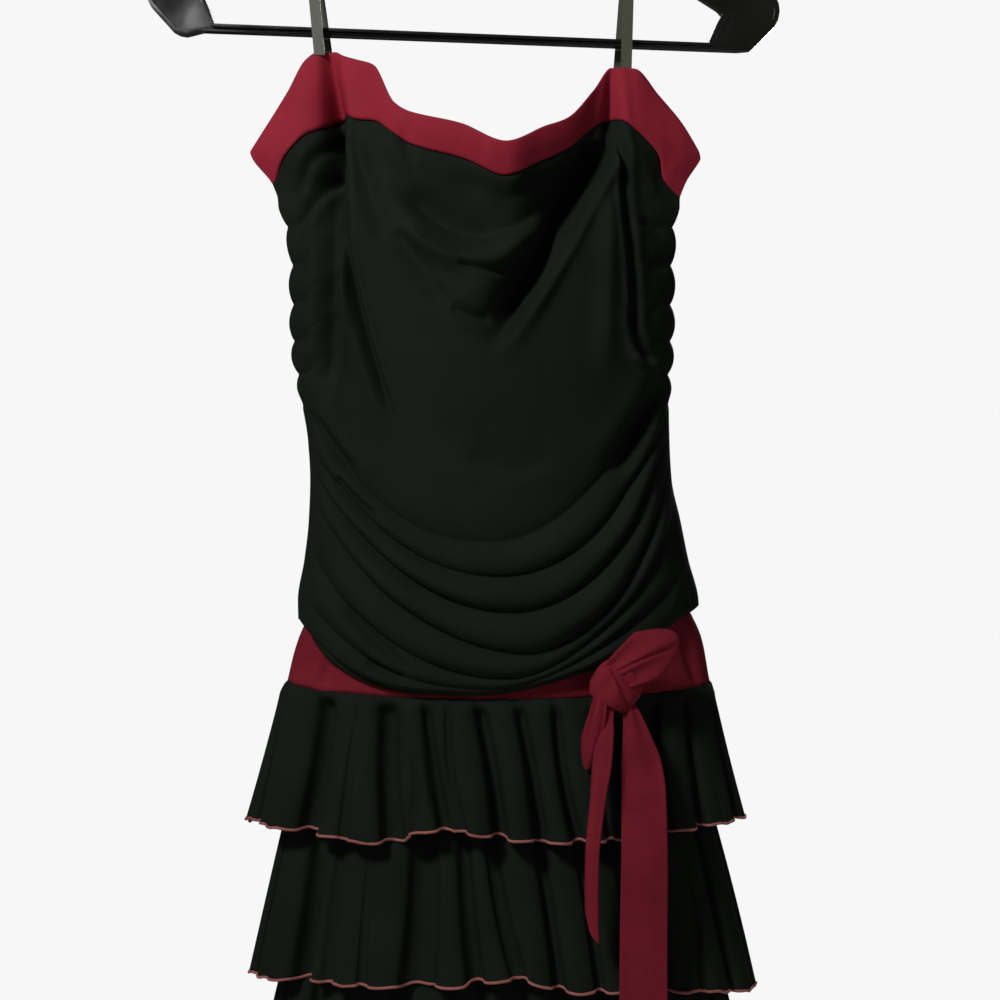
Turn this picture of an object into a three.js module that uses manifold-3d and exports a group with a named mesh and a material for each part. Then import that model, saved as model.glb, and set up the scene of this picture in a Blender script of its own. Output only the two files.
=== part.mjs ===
// A sleeveless tiered ruffle dress hung by its straps on a moulded hanger.
// Units are millimetres, +Z is up and the front of the dress faces -Y.
// The origin is the inside top of the hanger's hook, where a rail bears on it.
import * as THREE from 'three';
import manifoldModule from 'manifold-3d';

// Driving dimensions.
const SEAM_GAP = 0.3;          // between pieces that are sewn or lie on each other
const BAND_GAP = 0.36;         // the same along the curved neck line
const JERSEY_WALL = 1.2;       // draped jersey with its backing
const SATIN_WALL = 1.3;        // folded binding
const RUFFLE_WALL = 1.1;       // single layer with a rolled hem
const SASH_WALL = 1.6;         // sash cloth, sewn double
const HIP_BAND_TOP = -577;     // hidden behind the blouson
const HIP_BAND_BASE = -632;
const BLOUSE_TUCK = 14;        // how far the blouson turns up behind its own fold
const STRAP_WIDTH = 7.5;
const STRAP_WALL = 1.2;
const SASH_WIDTH = 31;
const SASH_SEAT = 4.7;         // brings the knot against the blouson
const HANGER_TILT = THREE.MathUtils.degToRad(1.9);   // right end hangs lower
const HANGER_THICKNESS = 8;
const HANGER_WEB = 3;
const HANGER_RIM = 3.4;

// Materials.
const cloth = (color, roughness) => new THREE.MeshStandardMaterial({
  color, roughness, metalness: 0, side: THREE.FrontSide,
});
const materials = {
  jersey: cloth('#151a15', 0.82),
  ruffle: cloth('#161c15', 0.85),
  wine: cloth('#7a2434', 0.55),
  sash: cloth('#561823', 0.6),
  strap: cloth('#5a5c4c', 0.4),
  hanger: new THREE.MeshStandardMaterial({ color: '#22251f', roughness: 0.35, metalness: 0 }),
};

// Small helpers.
const mix = (a, b, t) => a + (b - a) * t;
const clamp01 = (t) => Math.min(1, Math.max(0, t));
const ease = (t) => clamp01(t) ** 2 * (3 - 2 * clamp01(t));
const vec = (x, y, z) => new THREE.Vector3(x, y, z);
const range = (count) => Array.from({ length: count }, (_, index) => index);

// Reads one named column of a table whose rows are sorted by their key column.
function column(table, key, name, value) {
  const rising = table[table.length - 1][key] > table[0][key];
  const order = (row) => (rising ? row[key] : -row[key]);
  const target = rising ? value : -value;
  if (target <= order(table[0])) return table[0][name];
  for (let i = 1; i < table.length; i += 1) {
    if (target <= order(table[i])) {
      const t = (target - order(table[i - 1])) / (order(table[i]) - order(table[i - 1]));
      return mix(table[i - 1][name], table[i][name], t);
    }
  }
  return table[table.length - 1][name];
}

// Outward unit normals of a grid of points: rows run down, columns run
// anticlockwise seen from above.
function gridNormals(grid, { wrap = false, flatEdges = false, seam = false }) {
  const rows = grid.length;
  const cols = grid[0].length;
  const step = (j, by) => (wrap ? (j + by + cols) % cols : Math.min(cols - 1, Math.max(0, j + by)));
  return grid.map((row, i) => row.map((_, j) => {
    const down = grid[Math.min(rows - 1, i + 1)][j].clone().sub(grid[Math.max(0, i - 1)][j]);
    const along = row[step(j, 1)].clone().sub(row[step(j, -1)]);
    const normal = down.cross(along);
    if (flatEdges && (i === 0 || i === rows - 1)) normal.z = 0;
    if (seam && (j === 0 || j === cols - 1)) normal.y = 0;
    return normal.normalize();
  }));
}

// A closed cloth solid: the grid is its outer face and the wall goes inwards.
function clothSolid(name, material, grid, wall, options = {}) {
  const normals = options.normals ?? gridNormals(grid, options);
  const rows = grid.length;
  const cols = grid[0].length;
  const wrap = options.wrap ?? false;
  const positions = [];
  grid.flat().forEach((p) => positions.push(p.x, p.y, p.z));
  grid.forEach((row, i) => row.forEach((p, j) => {
    const q = p.clone().addScaledVector(normals[i][j], -wall);
    positions.push(q.x, q.y, q.z);
  }));
  const outer = (i, j) => i * cols + (j % cols);
  const inner = (i, j) => rows * cols + outer(i, j);
  const triangles = [];
  const quad = (a, b, c, d) => triangles.push(a, b, c, a, c, d);
  const spans = wrap ? cols : cols - 1;
  for (let i = 0; i < rows - 1; i += 1) {
    for (let j = 0; j < spans; j += 1) {
      quad(outer(i, j), outer(i + 1, j), outer(i + 1, j + 1), outer(i, j + 1));
      quad(inner(i, j), inner(i, j + 1), inner(i + 1, j + 1), inner(i + 1, j));
    }
  }
  for (let j = 0; j < spans; j += 1) {
    quad(outer(0, j), outer(0, j + 1), inner(0, j + 1), inner(0, j));
    const last = rows - 1;
    quad(outer(last, j + 1), outer(last, j), inner(last, j), inner(last, j + 1));
  }
  if (!wrap) {
    const last = cols - 1;
    for (let i = 0; i < rows - 1; i += 1) {
      quad(outer(i + 1, 0), outer(i, 0), inner(i, 0), inner(i + 1, 0));
      quad(outer(i, last), outer(i + 1, last), inner(i + 1, last), inner(i, last));
    }
  }
  const geometry = new THREE.BufferGeometry();
  geometry.setAttribute('position', new THREE.Float32BufferAttribute(positions, 3));
  geometry.setIndex(triangles);
  geometry.computeVertexNormals();
  const mesh = new THREE.Mesh(geometry, material);
  mesh.name = name;
  return mesh;
}

// Bodice: sections by height.
// left and right are the side seams; front and back the depths at the middle.
const BODICE_SECTIONS = [
  { z: -264, left: -152.5, right: 160.5, front: 50, back: 34 },
  { z: -288, left: -137.0, right: 147.0, front: 52, back: 36 },
  { z: -313, left: -129.0, right: 141.0, front: 54, back: 38 },
  { z: -340, left: -124.5, right: 139.5, front: 56, back: 40 },
  { z: -395, left: -123.5, right: 139.0, front: 58, back: 41 },
  { z: -437, left: -117.0, right: 136.5, front: 58, back: 42 },
  { z: -465, left: -112.5, right: 137.0, front: 58, back: 42 },
  { z: -492, left: -111.0, right: 138.5, front: 60, back: 43 },
  { z: -520, left: -112.0, right: 144.5, front: 63, back: 45 },
  { z: -547, left: -115.0, right: 150.0, front: 65, back: 48 },
  { z: -575, left: -119.5, right: 157.0, front: 66, back: 50 },
  { z: -600, left: -119.0, right: 158.0, front: 66, back: 51 },
  { z: -632, left: -124.0, right: 163.0, front: 64, back: 51 },
];
const HIP_SECTIONS = [
  { z: -577, left: -106.0, right: 145.0, front: 52, back: 42 },
  { z: -604, left: -116.5, right: 156.0, front: 54, back: 45 },
  { z: -632, left: -124.5, right: 162.5, front: 55, back: 47 },
];
const SECTION_ROUNDNESS = 0.6;
const NECK_BLEND = 95;         // height over which the neck's shape passes into the body's
const BAND_ROLL = 1.5;         // the band is fullest in its middle
const BAND_FLARE = 2;          // and stands out at its lower edge
const SEAM_FADE = 6;           // how fast such fullness grows away from the side seams
const SIDE_SCALLOP = 2.2;      // the gathers of the side seams bulge on every other row

// Neck line by position across the front: top and base of the band, and depth.
const NECK_FRONT = [
  { s: -1.00, top: -265, base: -288, y: 0 },
  { s: -0.83, top: -226, base: -267, y: -8 },
  { s: -0.75, top: -208, base: -256, y: -12 },
  { s: -0.69, top: -203, base: -249, y: -14 },
  { s: -0.62, top: -203, base: -242, y: -10 },
  { s: -0.56, top: -205, base: -242, y: -16 },
  { s: -0.46, top: -211, base: -250, y: -26 },
  { s: -0.35, top: -240, base: -261, y: -36 },
  { s: -0.28, top: -248, base: -269, y: -42 },
  { s: -0.06, top: -258, base: -280, y: -48 },
  { s: 0.13, top: -271, base: -292, y: -55 },
  { s: 0.29, top: -259, base: -281, y: -44 },
  { s: 0.39, top: -251, base: -271, y: -34 },
  { s: 0.51, top: -228, base: -253, y: -20 },
  { s: 0.59, top: -212, base: -246, y: -13 },
  { s: 0.69, top: -212, base: -254, y: -15 },
  { s: 0.80, top: -229, base: -270, y: -9 },
  { s: 0.90, top: -246, base: -287, y: -5 },
  { s: 1.00, top: -270, base: -297, y: 0 },
];
const NECK_BACK = [
  { s: -1.00, top: -265, base: -288, y: 0 },
  { s: -0.84, top: -236, base: -271, y: 9 },
  { s: -0.68, top: -210, base: -249, y: 14 },
  { s: -0.60, top: -210, base: -249, y: 15 },
  { s: -0.40, top: -262, base: -294, y: 26 },
  { s: -0.15, top: -283, base: -314, y: 34 },
  { s: 0.15, top: -288, base: -319, y: 35 },
  { s: 0.40, top: -268, base: -300, y: 26 },
  { s: 0.58, top: -219, base: -256, y: 15 },
  { s: 0.68, top: -217, base: -256, y: 14 },
  { s: 0.84, top: -243, base: -279, y: 8 },
  { s: 1.00, top: -270, base: -297, y: 0 },
];

// Swags of the blouson from the first trough to the fold over the hip.
// left, mid and right are heights; out is the displacement, outMid at the middle.
const FRONT_SWAGS = [
  { left: -437, mid: -534, right: -427, out: -4.5, outMid: -3.5 },
  { left: -452, mid: -545, right: -441, out: 3.0, outMid: 3.5 },
  { left: -468, mid: -557, right: -454, out: -4.0, outMid: -4.5 },
  { left: -475, mid: -568, right: -463, out: 2.5, outMid: 4.0 },
  { left: -483, mid: -579, right: -472, out: -4.0, outMid: -4.5 },
  { left: -494, mid: -593, right: -484, out: 3.0, outMid: 5.0 },
  { left: -506, mid: -608, right: -497, out: -4.0, outMid: -4.0 },
  { left: -514, mid: -615, right: -508, out: 3.0, outMid: 3.0 },
  { left: -524, mid: -621, right: -519, out: -3.5, outMid: -1.0 },
  { left: -545, mid: -626, right: -538, out: 4.0, outMid: 2.5 },
  { left: -570, mid: -629, right: -560, out: -2.5, outMid: 0.5 },
  { left: -595, mid: -634, right: -582, out: 1.0, outMid: 0 },
];
const BACK_SWAGS = [
  { left: -437, mid: -505, right: -427, out: -3.0, outMid: -3.0 },
  { left: -468, mid: -530, right: -454, out: 2.5, outMid: 3.5 },
  { left: -483, mid: -556, right: -472, out: -3.0, outMid: -4.0 },
  { left: -506, mid: -580, right: -497, out: 2.5, outMid: 4.0 },
  { left: -524, mid: -602, right: -519, out: -3.0, outMid: -3.0 },
  { left: -570, mid: -618, right: -560, out: 2.0, outMid: 2.5 },
  { left: -595, mid: -628, right: -582, out: 1.0, outMid: 0 },
];
const SWAG_LOWEST = 0.04;      // where across the front the swags hang lowest
const SWAG_CURVE = { left: 1.95, right: 1.85 };   // how late each arm of a swag climbs
const SWAG_MIDDLE = 1.4;       // how soon the middle's displacement passes into the sides'
const UPPER_ROWS = 13;

// Folds that hang from the straps: a curve through three points (x, z),
// the half-width of the fold and how far it goes in (-) or out (+).
const FRONT_FOLDS = [
  { x0: -90, z0: -256, xm: -88, zm: -350, x1: -91, z1: -449, width: 9, depth: -8 },
  { x0: -76, z0: -282, xm: -76, zm: -345, x1: -44, z1: -455, width: 8, depth: -4 },
  { x0: -108, z0: -285, xm: -109, zm: -350, x1: -104, z1: -430, width: 10, depth: 4 },
  { x0: -36, z0: -299, xm: 12, zm: -366, x1: 62, z1: -305, width: 12, depth: -9 },
  { x0: -38, z0: -322, xm: 12, zm: -386, x1: 56, z1: -322, width: 6, depth: 4 },
  { x0: -38, z0: -336, xm: -8, zm: -392, x1: 36, z1: -362, width: 6, depth: -4 },
  { x0: 88, z0: -262, xm: 66, zm: -330, x1: 16, z1: -410, width: 13, depth: -10 },
  { x0: 92, z0: -310, xm: 92, zm: -360, x1: 90, z1: -416, width: 9, depth: 5 },
  { x0: 104, z0: -258, xm: 102, zm: -350, x1: 125, z1: -418, width: 7, depth: -6 },
  { x0: 130, z0: -424, xm: 118, zm: -460, x1: 95, z1: -492, width: 9, depth: -4 },
  { x0: 6, z0: -474, xm: 28, zm: -492, x1: 50, z1: -476, width: 7, depth: -3 },
  { x0: -104, z0: -448, xm: -92, zm: -470, x1: -74, z1: -490, width: 6, depth: -4 },
];
const BACK_FOLDS = [
  { x0: -92, z0: -262, xm: -84, zm: -350, x1: -60, z1: -440, width: 10, depth: -5 },
  { x0: -40, z0: -322, xm: 10, zm: -378, x1: 60, z1: -322, width: 12, depth: -5 },
  { x0: 100, z0: -262, xm: 94, zm: -350, x1: 70, z1: -440, width: 10, depth: -5 },
];
const FOLD_STEPS = 12;
const FOLD_SPREAD = 0.45;      // sideways share of a fold's height on the flanks
const FOLD_START = { over: 0.12, from: 0.3 };
const FOLD_END = { over: 0.2, from: 0.2 };

const bezier = (f, t) => ({
  x: (1 - t) ** 2 * f.x0 + 2 * t * (1 - t) * f.xm + t * t * f.x1,
  z: (1 - t) ** 2 * f.z0 + 2 * t * (1 - t) * f.zm + t * t * f.z1,
});

// Sum of the folds at a point of the front view; each dies out at its ends.
function foldAt(folds, x, z) {
  return folds.reduce((sum, fold) => {
    let best = Infinity;
    let where = 0;
    for (let k = 0; k <= FOLD_STEPS; k += 1) {
      const t = k / FOLD_STEPS;
      const p = bezier(fold, t);
      const distance = Math.hypot(x - p.x, z - p.z);
      if (distance < best) { best = distance; where = t; }
    }
    const taper = ease(where / FOLD_START.over + FOLD_START.from)
      * ease((1 - where) / FOLD_END.over + FOLD_END.from);
    return sum + fold.depth * taper * Math.exp(-((best / fold.width) ** 2));
  }, 0);
}

const sectionX = (sections, s, z) => {
  const left = column(sections, 'z', 'left', z);
  const right = column(sections, 'z', 'right', z);
  return (left + right) / 2 + (right - left) / 2 * s;
};
const roundness = (s) => (1 - Math.min(1, s * s)) ** SECTION_ROUNDNESS;

const scallop = (s, row) => Math.sign(s) * SIDE_SCALLOP * (row % 2 ? 1 : -1) * Math.abs(s) ** 6;

const swagHeight = (row, s) => {
  const across = s < SWAG_LOWEST
    ? (SWAG_LOWEST - s) / (1 + SWAG_LOWEST) : (s - SWAG_LOWEST) / (1 - SWAG_LOWEST);
  return s < SWAG_LOWEST
    ? mix(row.mid, row.left, across ** SWAG_CURVE.left)
    : mix(row.mid, row.right, across ** SWAG_CURVE.right);
};

// One point of the bodice: side is -1 for the front and +1 for the back.
function bodicePoint(side, neck, folds, s, z, out, sideways = 0) {
  const baseZ = column(neck, 's', 'base', s);
  const x = sectionX(BODICE_SECTIONS, s, z);
  const depth = column(BODICE_SECTIONS, 'z', side < 0 ? 'front' : 'back', z);
  const hang = ease((baseZ - z) / NECK_BLEND);
  const neckY = column(neck, 's', 'y', s);
  const bodyY = side * depth * roundness(s);
  const press = (out + foldAt(folds, x, z)) * (1 - Math.abs(s) ** 8) * clamp01(roundness(s) * 2);
  return vec(
    x + press * s * FOLD_SPREAD + sideways,
    side * SEAM_GAP / 2 + (Math.abs(s) >= 1 ? 0 : mix(neckY, bodyY, hang) + side * press),
    z,
  );
}

// Positions across a panel, closer together towards the side seams.
const COLUMN_CROWDING = 0.45;
const across = (count) => range(count + 1).map((k) => {
  const t = 2 * k / count - 1;
  return mix(t, Math.sin(t * Math.PI / 2), COLUMN_CROWDING);
});
const fullness = (s) => clamp01((1 - s * s) * SEAM_FADE);

// The whole panel as rows from the top of the band to the tuck of the blouson.
function bodiceGrid(side, neck, swags, folds, columns, upperRows) {
  const stations = across(columns).map((s) => (side < 0 ? s : -s));
  const bandRows = [0, 0.5, 1].map((f) => stations.map((s) => {
    const z = mix(column(neck, 's', 'top', s), column(neck, 's', 'base', s), f);
    const p = bodicePoint(side, neck, [], s, z, 0);
    const stand = (Math.sin(f * Math.PI) * BAND_ROLL + f * BAND_FLARE) * fullness(s);
    return vec(p.x, p.y + side * stand, z);
  }));
  const seamRow = bandRows[2].map((p, j, row) => {
    const before = row[Math.max(0, j - 1)];
    const after = row[Math.min(row.length - 1, j + 1)];
    const steepness = Math.abs((after.z - before.z) / Math.hypot(after.x - before.x, after.y - before.y));
    return vec(p.x, p.y, p.z - BAND_GAP * Math.hypot(1, steepness));
  });
  const upper = range(upperRows - 1).map((k) => stations.map((s) => {
    const top = column(neck, 's', 'base', s);
    const z = mix(top, swagHeight(swags[0], s), (k + 1) / upperRows);
    return bodicePoint(side, neck, folds, s, z, 0, k < upperRows - 2 ? scallop(s, k) : 0);
  }));
  const lower = swags.map((row) => stations.map((s) => {
    const middle = clamp01(1 - Math.abs(s - SWAG_LOWEST) * SWAG_MIDDLE);
    const out = mix(row.out, row.outMid, middle);
    return bodicePoint(side, neck, folds, s, swagHeight(row, s), out);
  }));
  const hem = swags[swags.length - 1];
  const tuck = stations.map((s) => {
    const z = swagHeight(hem, s) + BLOUSE_TUCK;
    return hipPoint(side, s, z, JERSEY_WALL + SEAM_GAP);
  });
  return { band: bandRows, body: [seamRow, ...upper, ...lower, tuck] };
}

// A point of the hip section moved out by a margin.
function hipPoint(side, s, z, margin) {
  const depth = column(HIP_SECTIONS, 'z', side < 0 ? 'front' : 'back', z);
  const x = sectionX(HIP_SECTIONS, s, z);
  const y = side * (depth * roundness(s) + SEAM_GAP / 2 + margin * clamp01(roundness(s) * 1.6));
  const outward = margin * Math.sign(s) * Math.abs(s) ** 3;
  return vec(x + outward, Math.abs(s) >= 1 ? side * SEAM_GAP / 2 : y, z);
}

// Band and body share the normals of one grid, so their rims stay parallel.
function panelPieces(side, neck, swags, folds, columns, upperRows, names) {
  const { band, body } = bodiceGrid(side, neck, swags, folds, columns, upperRows);
  const bandNormals = gridNormals([...band, body[1]], { seam: true }).slice(0, band.length);
  const bodyNormals = gridNormals(body, { seam: true });
  bodyNormals[0] = bandNormals[bandNormals.length - 1];
  return [
    clothSolid(names.band, materials.wine, band, SATIN_WALL, { normals: bandNormals }),
    clothSolid(names.body, materials.jersey, body, JERSEY_WALL, { normals: bodyNormals }),
  ];
}

// Skirt: rings with gathers.
// A ring point: angle 0 is the middle of the front, -90 degrees the left seam.
function ringPoint(section, angle, out, z) {
  const half = (section.right - section.left) / 2 + out;
  const depth = (Math.cos(angle) > 0 ? section.front : section.back) + out;
  return vec(
    (section.right + section.left) / 2 + half * Math.sin(angle),
    -Math.sign(Math.cos(angle)) * depth * Math.abs(Math.cos(angle)) ** (2 * SECTION_ROUNDNESS),
    z,
  );
}

// Crests of the ruffle waves in degrees; drop lowers the hem at that wave.
const TIER_1_WAVES = [
  { at: -98, drop: 2 }, { at: -79, drop: -2 }, { at: -60, drop: 0 }, { at: -39.5, drop: 2 },
  { at: -31, drop: 4 }, { at: -23, drop: 4 }, { at: -17, drop: -4 }, { at: -10, drop: -5 },
  { at: -2.3, drop: -3 }, { at: 5, drop: 0 }, { at: 12, drop: 2 }, { at: 22.5, drop: 1 },
  { at: 33, drop: 0 }, { at: 43, drop: -1 }, { at: 58, drop: -3 }, { at: 76, drop: -4 },
  { at: 98, drop: -3 }, { at: 118, drop: 1 }, { at: 133, drop: 2 }, { at: 147, drop: -2 },
  { at: 160, drop: 0 }, { at: 173, drop: 2 }, { at: 187, drop: -1 }, { at: 200, drop: 1 },
  { at: 213, drop: 3 }, { at: 227, drop: -1 }, { at: 243, drop: 1 },
];
const TIER_2_WAVES = [
  { at: -97, drop: 8 }, { at: -78, drop: 6 }, { at: -58, drop: 4 }, { at: -42, drop: 1 },
  { at: -33, drop: 0 }, { at: -20.5, drop: 0 }, { at: -10.5, drop: -2 }, { at: -2, drop: -6 },
  { at: 4, drop: -8 }, { at: 9, drop: -3 }, { at: 14.5, drop: 0 }, { at: 21.5, drop: 1 },
  { at: 30.5, drop: 3 }, { at: 39, drop: 5 }, { at: 52.5, drop: 8 }, { at: 70, drop: 14 },
  { at: 90, drop: 16 }, { at: 110, drop: 10 }, { at: 127, drop: 6 }, { at: 142, drop: 2 },
  { at: 156, drop: 0 }, { at: 170, drop: 2 }, { at: 184, drop: -1 }, { at: 198, drop: 1 },
  { at: 212, drop: 3 }, { at: 227, drop: 5 }, { at: 244, drop: 7 },
];
const TIER_3_WAVES = range(26).map((k) => ({
  at: -96 + k * 360 / 26 + 2.6 * Math.sin(k * 2.4), drop: 3 * Math.sin(k * 1.7),
}));
const TIERS = [
  {
    name: 'skirt_tier_1', waves: TIER_1_WAVES, top: HIP_BAND_BASE - SEAM_GAP, hem: -726, rows: 4,
    upper: { left: -125.0, right: 163.0, front: 57.5, back: 49.5, wave: 2.0 },
    lower: { left: -147.5, right: 184.5, front: 74, back: 68, wave: 8.6 },
  },
  {
    name: 'skirt_tier_2', waves: TIER_2_WAVES, top: -701, hem: -823, rows: 4,
    upper: { left: -127.5, right: 165.5, front: 54.5, back: 48, wave: 1.5 },
    lower: { left: -147, right: 192, front: 75, back: 69, wave: 9.5 },
  },
  {
    name: 'skirt_tier_3', waves: TIER_3_WAVES, top: -799, hem: -924, rows: 3,
    upper: { left: -128.0, right: 169.5, front: 55.5, back: 49.5, wave: 1.3 },
    lower: { left: -147, right: 193, front: 74, back: 68, wave: 9.5 },
  },
];
const WAVE_PHASES = [0, 0.2, 0.38, 0.5, 0.62, 0.8];
const LOBE_FULLNESS = 0.85;
const WAVE_GROWTH = 0.8;
const waveShape = (phase) => 2 * Math.abs(Math.cos(Math.PI * phase)) ** LOBE_FULLNESS - 1;
const toAngle = THREE.MathUtils.degToRad;

function tierGrid(tier) {
  const stations = tier.waves.flatMap((wave, k) => {
    const next = tier.waves[(k + 1) % tier.waves.length];
    const nextAt = next.at + (k === tier.waves.length - 1 ? 360 : 0);
    return WAVE_PHASES.map((phase) => ({
      angle: toAngle(mix(wave.at, nextAt, phase)), phase, drop: mix(wave.drop, next.drop, phase),
    }));
  });
  return range(tier.rows).map((row) => {
    const f = row / (tier.rows - 1);
    const section = Object.fromEntries(['left', 'right', 'front', 'back', 'wave'].map(
      (key) => [key, mix(tier.upper[key], tier.lower[key], key === 'wave' ? f ** WAVE_GROWTH : f)],
    ));
    return stations.map(({ angle, phase, drop }) => ringPoint(
      section, angle, section.wave * waveShape(phase), mix(tier.top, tier.hem - drop * f, f),
    ));
  });
}

const UNDERSKIRT_ROWS = [
  { z: -620, left: -116.5, right: 154.5, front: 51.0, back: 43.0 },
  { z: -634, left: -119.5, right: 157.5, front: 52.5, back: 44.5 },
  { z: -699, left: -124.4, right: 162.4, front: 51.4, back: 44.9 },
  { z: -797, left: -125.2, right: 166.7, front: 52.6, back: 46.6 },
  { z: -862, left: -128.0, right: 170.0, front: 55.0, back: 49.0 },
];
const RING_COLUMNS = 40;
const ringAngles = range(RING_COLUMNS).map((k) => toAngle(-90 + k * 360 / RING_COLUMNS));

// Sash: strips along a path.
// rows: centre (x, y, z), turn of the width about the vertical and width.
function strip(name, material, rows, wall, cross = 2) {
  const grid = rows.map(({ x, y, z, turn = 0, lean = 0, width }) => {
    const side = vec(Math.cos(toAngle(turn)) * Math.cos(toAngle(lean)),
      -Math.sin(toAngle(turn)) * Math.cos(toAngle(lean)), Math.sin(toAngle(lean)));
    return range(cross + 1).map((k) => vec(x, y, z).addScaledVector(side, width * (k / cross - 0.5)));
  });
  return clothSolid(name, material, grid, wall);
}

const LONG_TAIL = [
  { x: 94.5, y: -66, z: -636, width: 5 },
  { x: 95, y: -66.5, z: -647, width: 6.5 },
  { x: 102, y: -68, z: -659, width: 15, lean: 6 },
  { x: 107, y: -69, z: -674, width: 22, turn: -6, lean: 4 },
  { x: 110, y: -71, z: -698, width: 28, turn: 4 },
  { x: 111, y: -74, z: -727, width: SASH_WIDTH, turn: 3 },
  { x: 112, y: -76, z: -770, width: SASH_WIDTH, turn: -4 },
  { x: 112, y: -78, z: -815, width: SASH_WIDTH, turn: 2 },
  { x: 112, y: -78, z: -860, width: SASH_WIDTH, turn: 4 },
  { x: 112, y: -78, z: -898, width: SASH_WIDTH - 3, turn: 0, lean: -22 },
];
const SHORT_TAIL = [
  { x: 90.3, y: -69, z: -636, width: 3.4 },
  { x: 90.5, y: -69, z: -650, width: 6 },
  { x: 90.5, y: -72, z: -668, width: 12, turn: 20 },
  { x: 89, y: -82, z: -692, width: 19, turn: 40 },
  { x: 83, y: -92, z: -727, width: 25, turn: 50 },
  { x: 77, y: -94, z: -757, width: 27, turn: 52 },
  { x: 75, y: -94, z: -785, width: 24, turn: 54, lean: 22 },
];

// The knot is a short sleeve of sash cloth that the loops and tails pass through.
const KNOT = {
  x: 97, y: -67.2, z: -628, tilt: 30, height: 27, rx: 15.5, ry: 8.5, columns: 20,
};

// A bow loop: out along a direction, round and back behind itself.
const LOOPS = {
  sash_loop_upper: {
    x: 101, z: -620, dx: 0.76, dz: 0.65, reach: 40, front: -75, back: -60, width: 27, neck: 10.6,
  },
  sash_loop_lower: {
    x: 86.2, z: -634, dx: -0.2, dz: -0.98, reach: 48, front: -91, back: -80, width: 13, neck: 4,
  },
};
const LOOP_ROWS = 13;
const LOOP_REACH_CURVE = 0.8;
const LOOP_WIDTH_CURVE = 0.7;
const LOOP_CLEAR = 12;         // length of a loop inside the knot
const LOOP_MOUTH = 2.4;        // half the distance between the two layers in the knot
function loopStrip(name, material, loop) {
  const middle = (loop.front + loop.back) / 2;
  const radius = (loop.back - loop.front) / 2;
  const cross = vec(-loop.dz, 0, loop.dx);
  const grid = range(LOOP_ROWS).map((k) => {
    const a = k / (LOOP_ROWS - 1) * Math.PI;
    const along = Math.sin(a) ** LOOP_REACH_CURVE * loop.reach;
    const swing = ease((along - LOOP_CLEAR) / LOOP_CLEAR / 2);
    const y = mix(KNOT.y, middle, swing) - Math.cos(a) * mix(LOOP_MOUTH, radius, swing);
    const width = mix(loop.neck, loop.width, Math.sin(a) ** LOOP_WIDTH_CURVE);
    const centre = vec(loop.x + loop.dx * along, y, loop.z + loop.dz * along);
    return [-0.5, 0, 0.5].map((f) => centre.clone().addScaledVector(cross, width * f));
  });
  return clothSolid(name, material, grid, SASH_WALL);
}

const KNOT_ROWS = [
  { f: -0.5, bulge: 0.80 }, { f: -0.28, bulge: 1.0 }, { f: 0, bulge: 1.06 },
  { f: 0.28, bulge: 1.0 }, { f: 0.5, bulge: 0.80 },
];
function knotSleeve() {
  const tilt = toAngle(KNOT.tilt);
  const grid = [...KNOT_ROWS].reverse().map(({ f, bulge }) => range(KNOT.columns).map((k) => {
    const a = k / KNOT.columns * 2 * Math.PI;
    const x = KNOT.rx * bulge * Math.sin(a);
    const y = -KNOT.ry * bulge * Math.cos(a);
    const z = KNOT.height * f;
    return vec(
      KNOT.x + x * Math.cos(tilt) + z * Math.sin(tilt), KNOT.y + y,
      KNOT.z - x * Math.sin(tilt) + z * Math.cos(tilt),
    );
  }));
  return clothSolid('sash_knot', materials.sash, grid, SASH_WALL, { wrap: true });
}

// Straps: over the hanger arm, front leg and back leg.
// front and back: where the legs meet the band; top: the rest on the arm.
const STRAPS = {
  strap_left: {
    front: { x: -103, y: -14.2, z: -202.7 }, back: { x: -98.5, y: 14.4, z: -209.7 },
    top: { x: -114, z: -95.7 }, lean: 25,
  },
  strap_right: {
    front: { x: 106, y: -14.2, z: -211.7 }, back: { x: 102, y: 14.4, z: -218.4 },
    top: { x: 110, z: -103.8 }, lean: -28,
  },
};
// The bend over the arm: distance from its middle, fall, and share of the lean.
const STRAP_BEND = [
  { y: 5.8, fall: 36, lean: 0.2 }, { y: 5.8, fall: 9, lean: 1 }, { y: 6.2, fall: 1.5, lean: 1 },
  { y: 4.2, fall: 0, lean: 1 },
];
function strapRows({ front, back, top, lean }) {
  const bend = (side, leg) => STRAP_BEND.map((row) => ({
    x: mix(top.x, leg.x, clamp01(row.fall / (top.z - leg.z))), y: side * row.y, z: top.z - row.fall,
    lean: lean * row.lean, width: STRAP_WIDTH,
  }));
  const ends = [front, back].map((leg) => ({ ...leg, width: STRAP_WIDTH }));
  return [ends[0], ...bend(-1, front), ...bend(1, back).reverse(), ends[1]].reverse();
}

// Hanger: one flat moulding with a web and a raised rim.
const HOOK = { radius: 23, bearing: 20, start: -35, end: 180, halfWidth: 3 };
const SHOULDER = [
  { x: 0, z: -70, half: 9 }, { x: 40, z: -80, half: 9 }, { x: 90, z: -103, half: 10 },
  { x: 140, z: -128, half: 12 }, { x: 185, z: -150, half: 16 }, { x: 200, z: -163, half: 18 },
];
const SHOULDER_END = [
  { x: 200, z: -163, half: 18 }, { x: 190, z: -177, half: 15.5 }, { x: 176, z: -186.5, half: 6 },
];
const SHANK = [{ x: -20, z: -34, half: 3.2 }, { x: -4, z: -50, half: 3.8 }, { x: 0, z: -70, half: 6 }];
const BAR = { z: -189, half: 3.5, end: 186 };
const HANGER_ARC_STEPS = 20;

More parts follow.
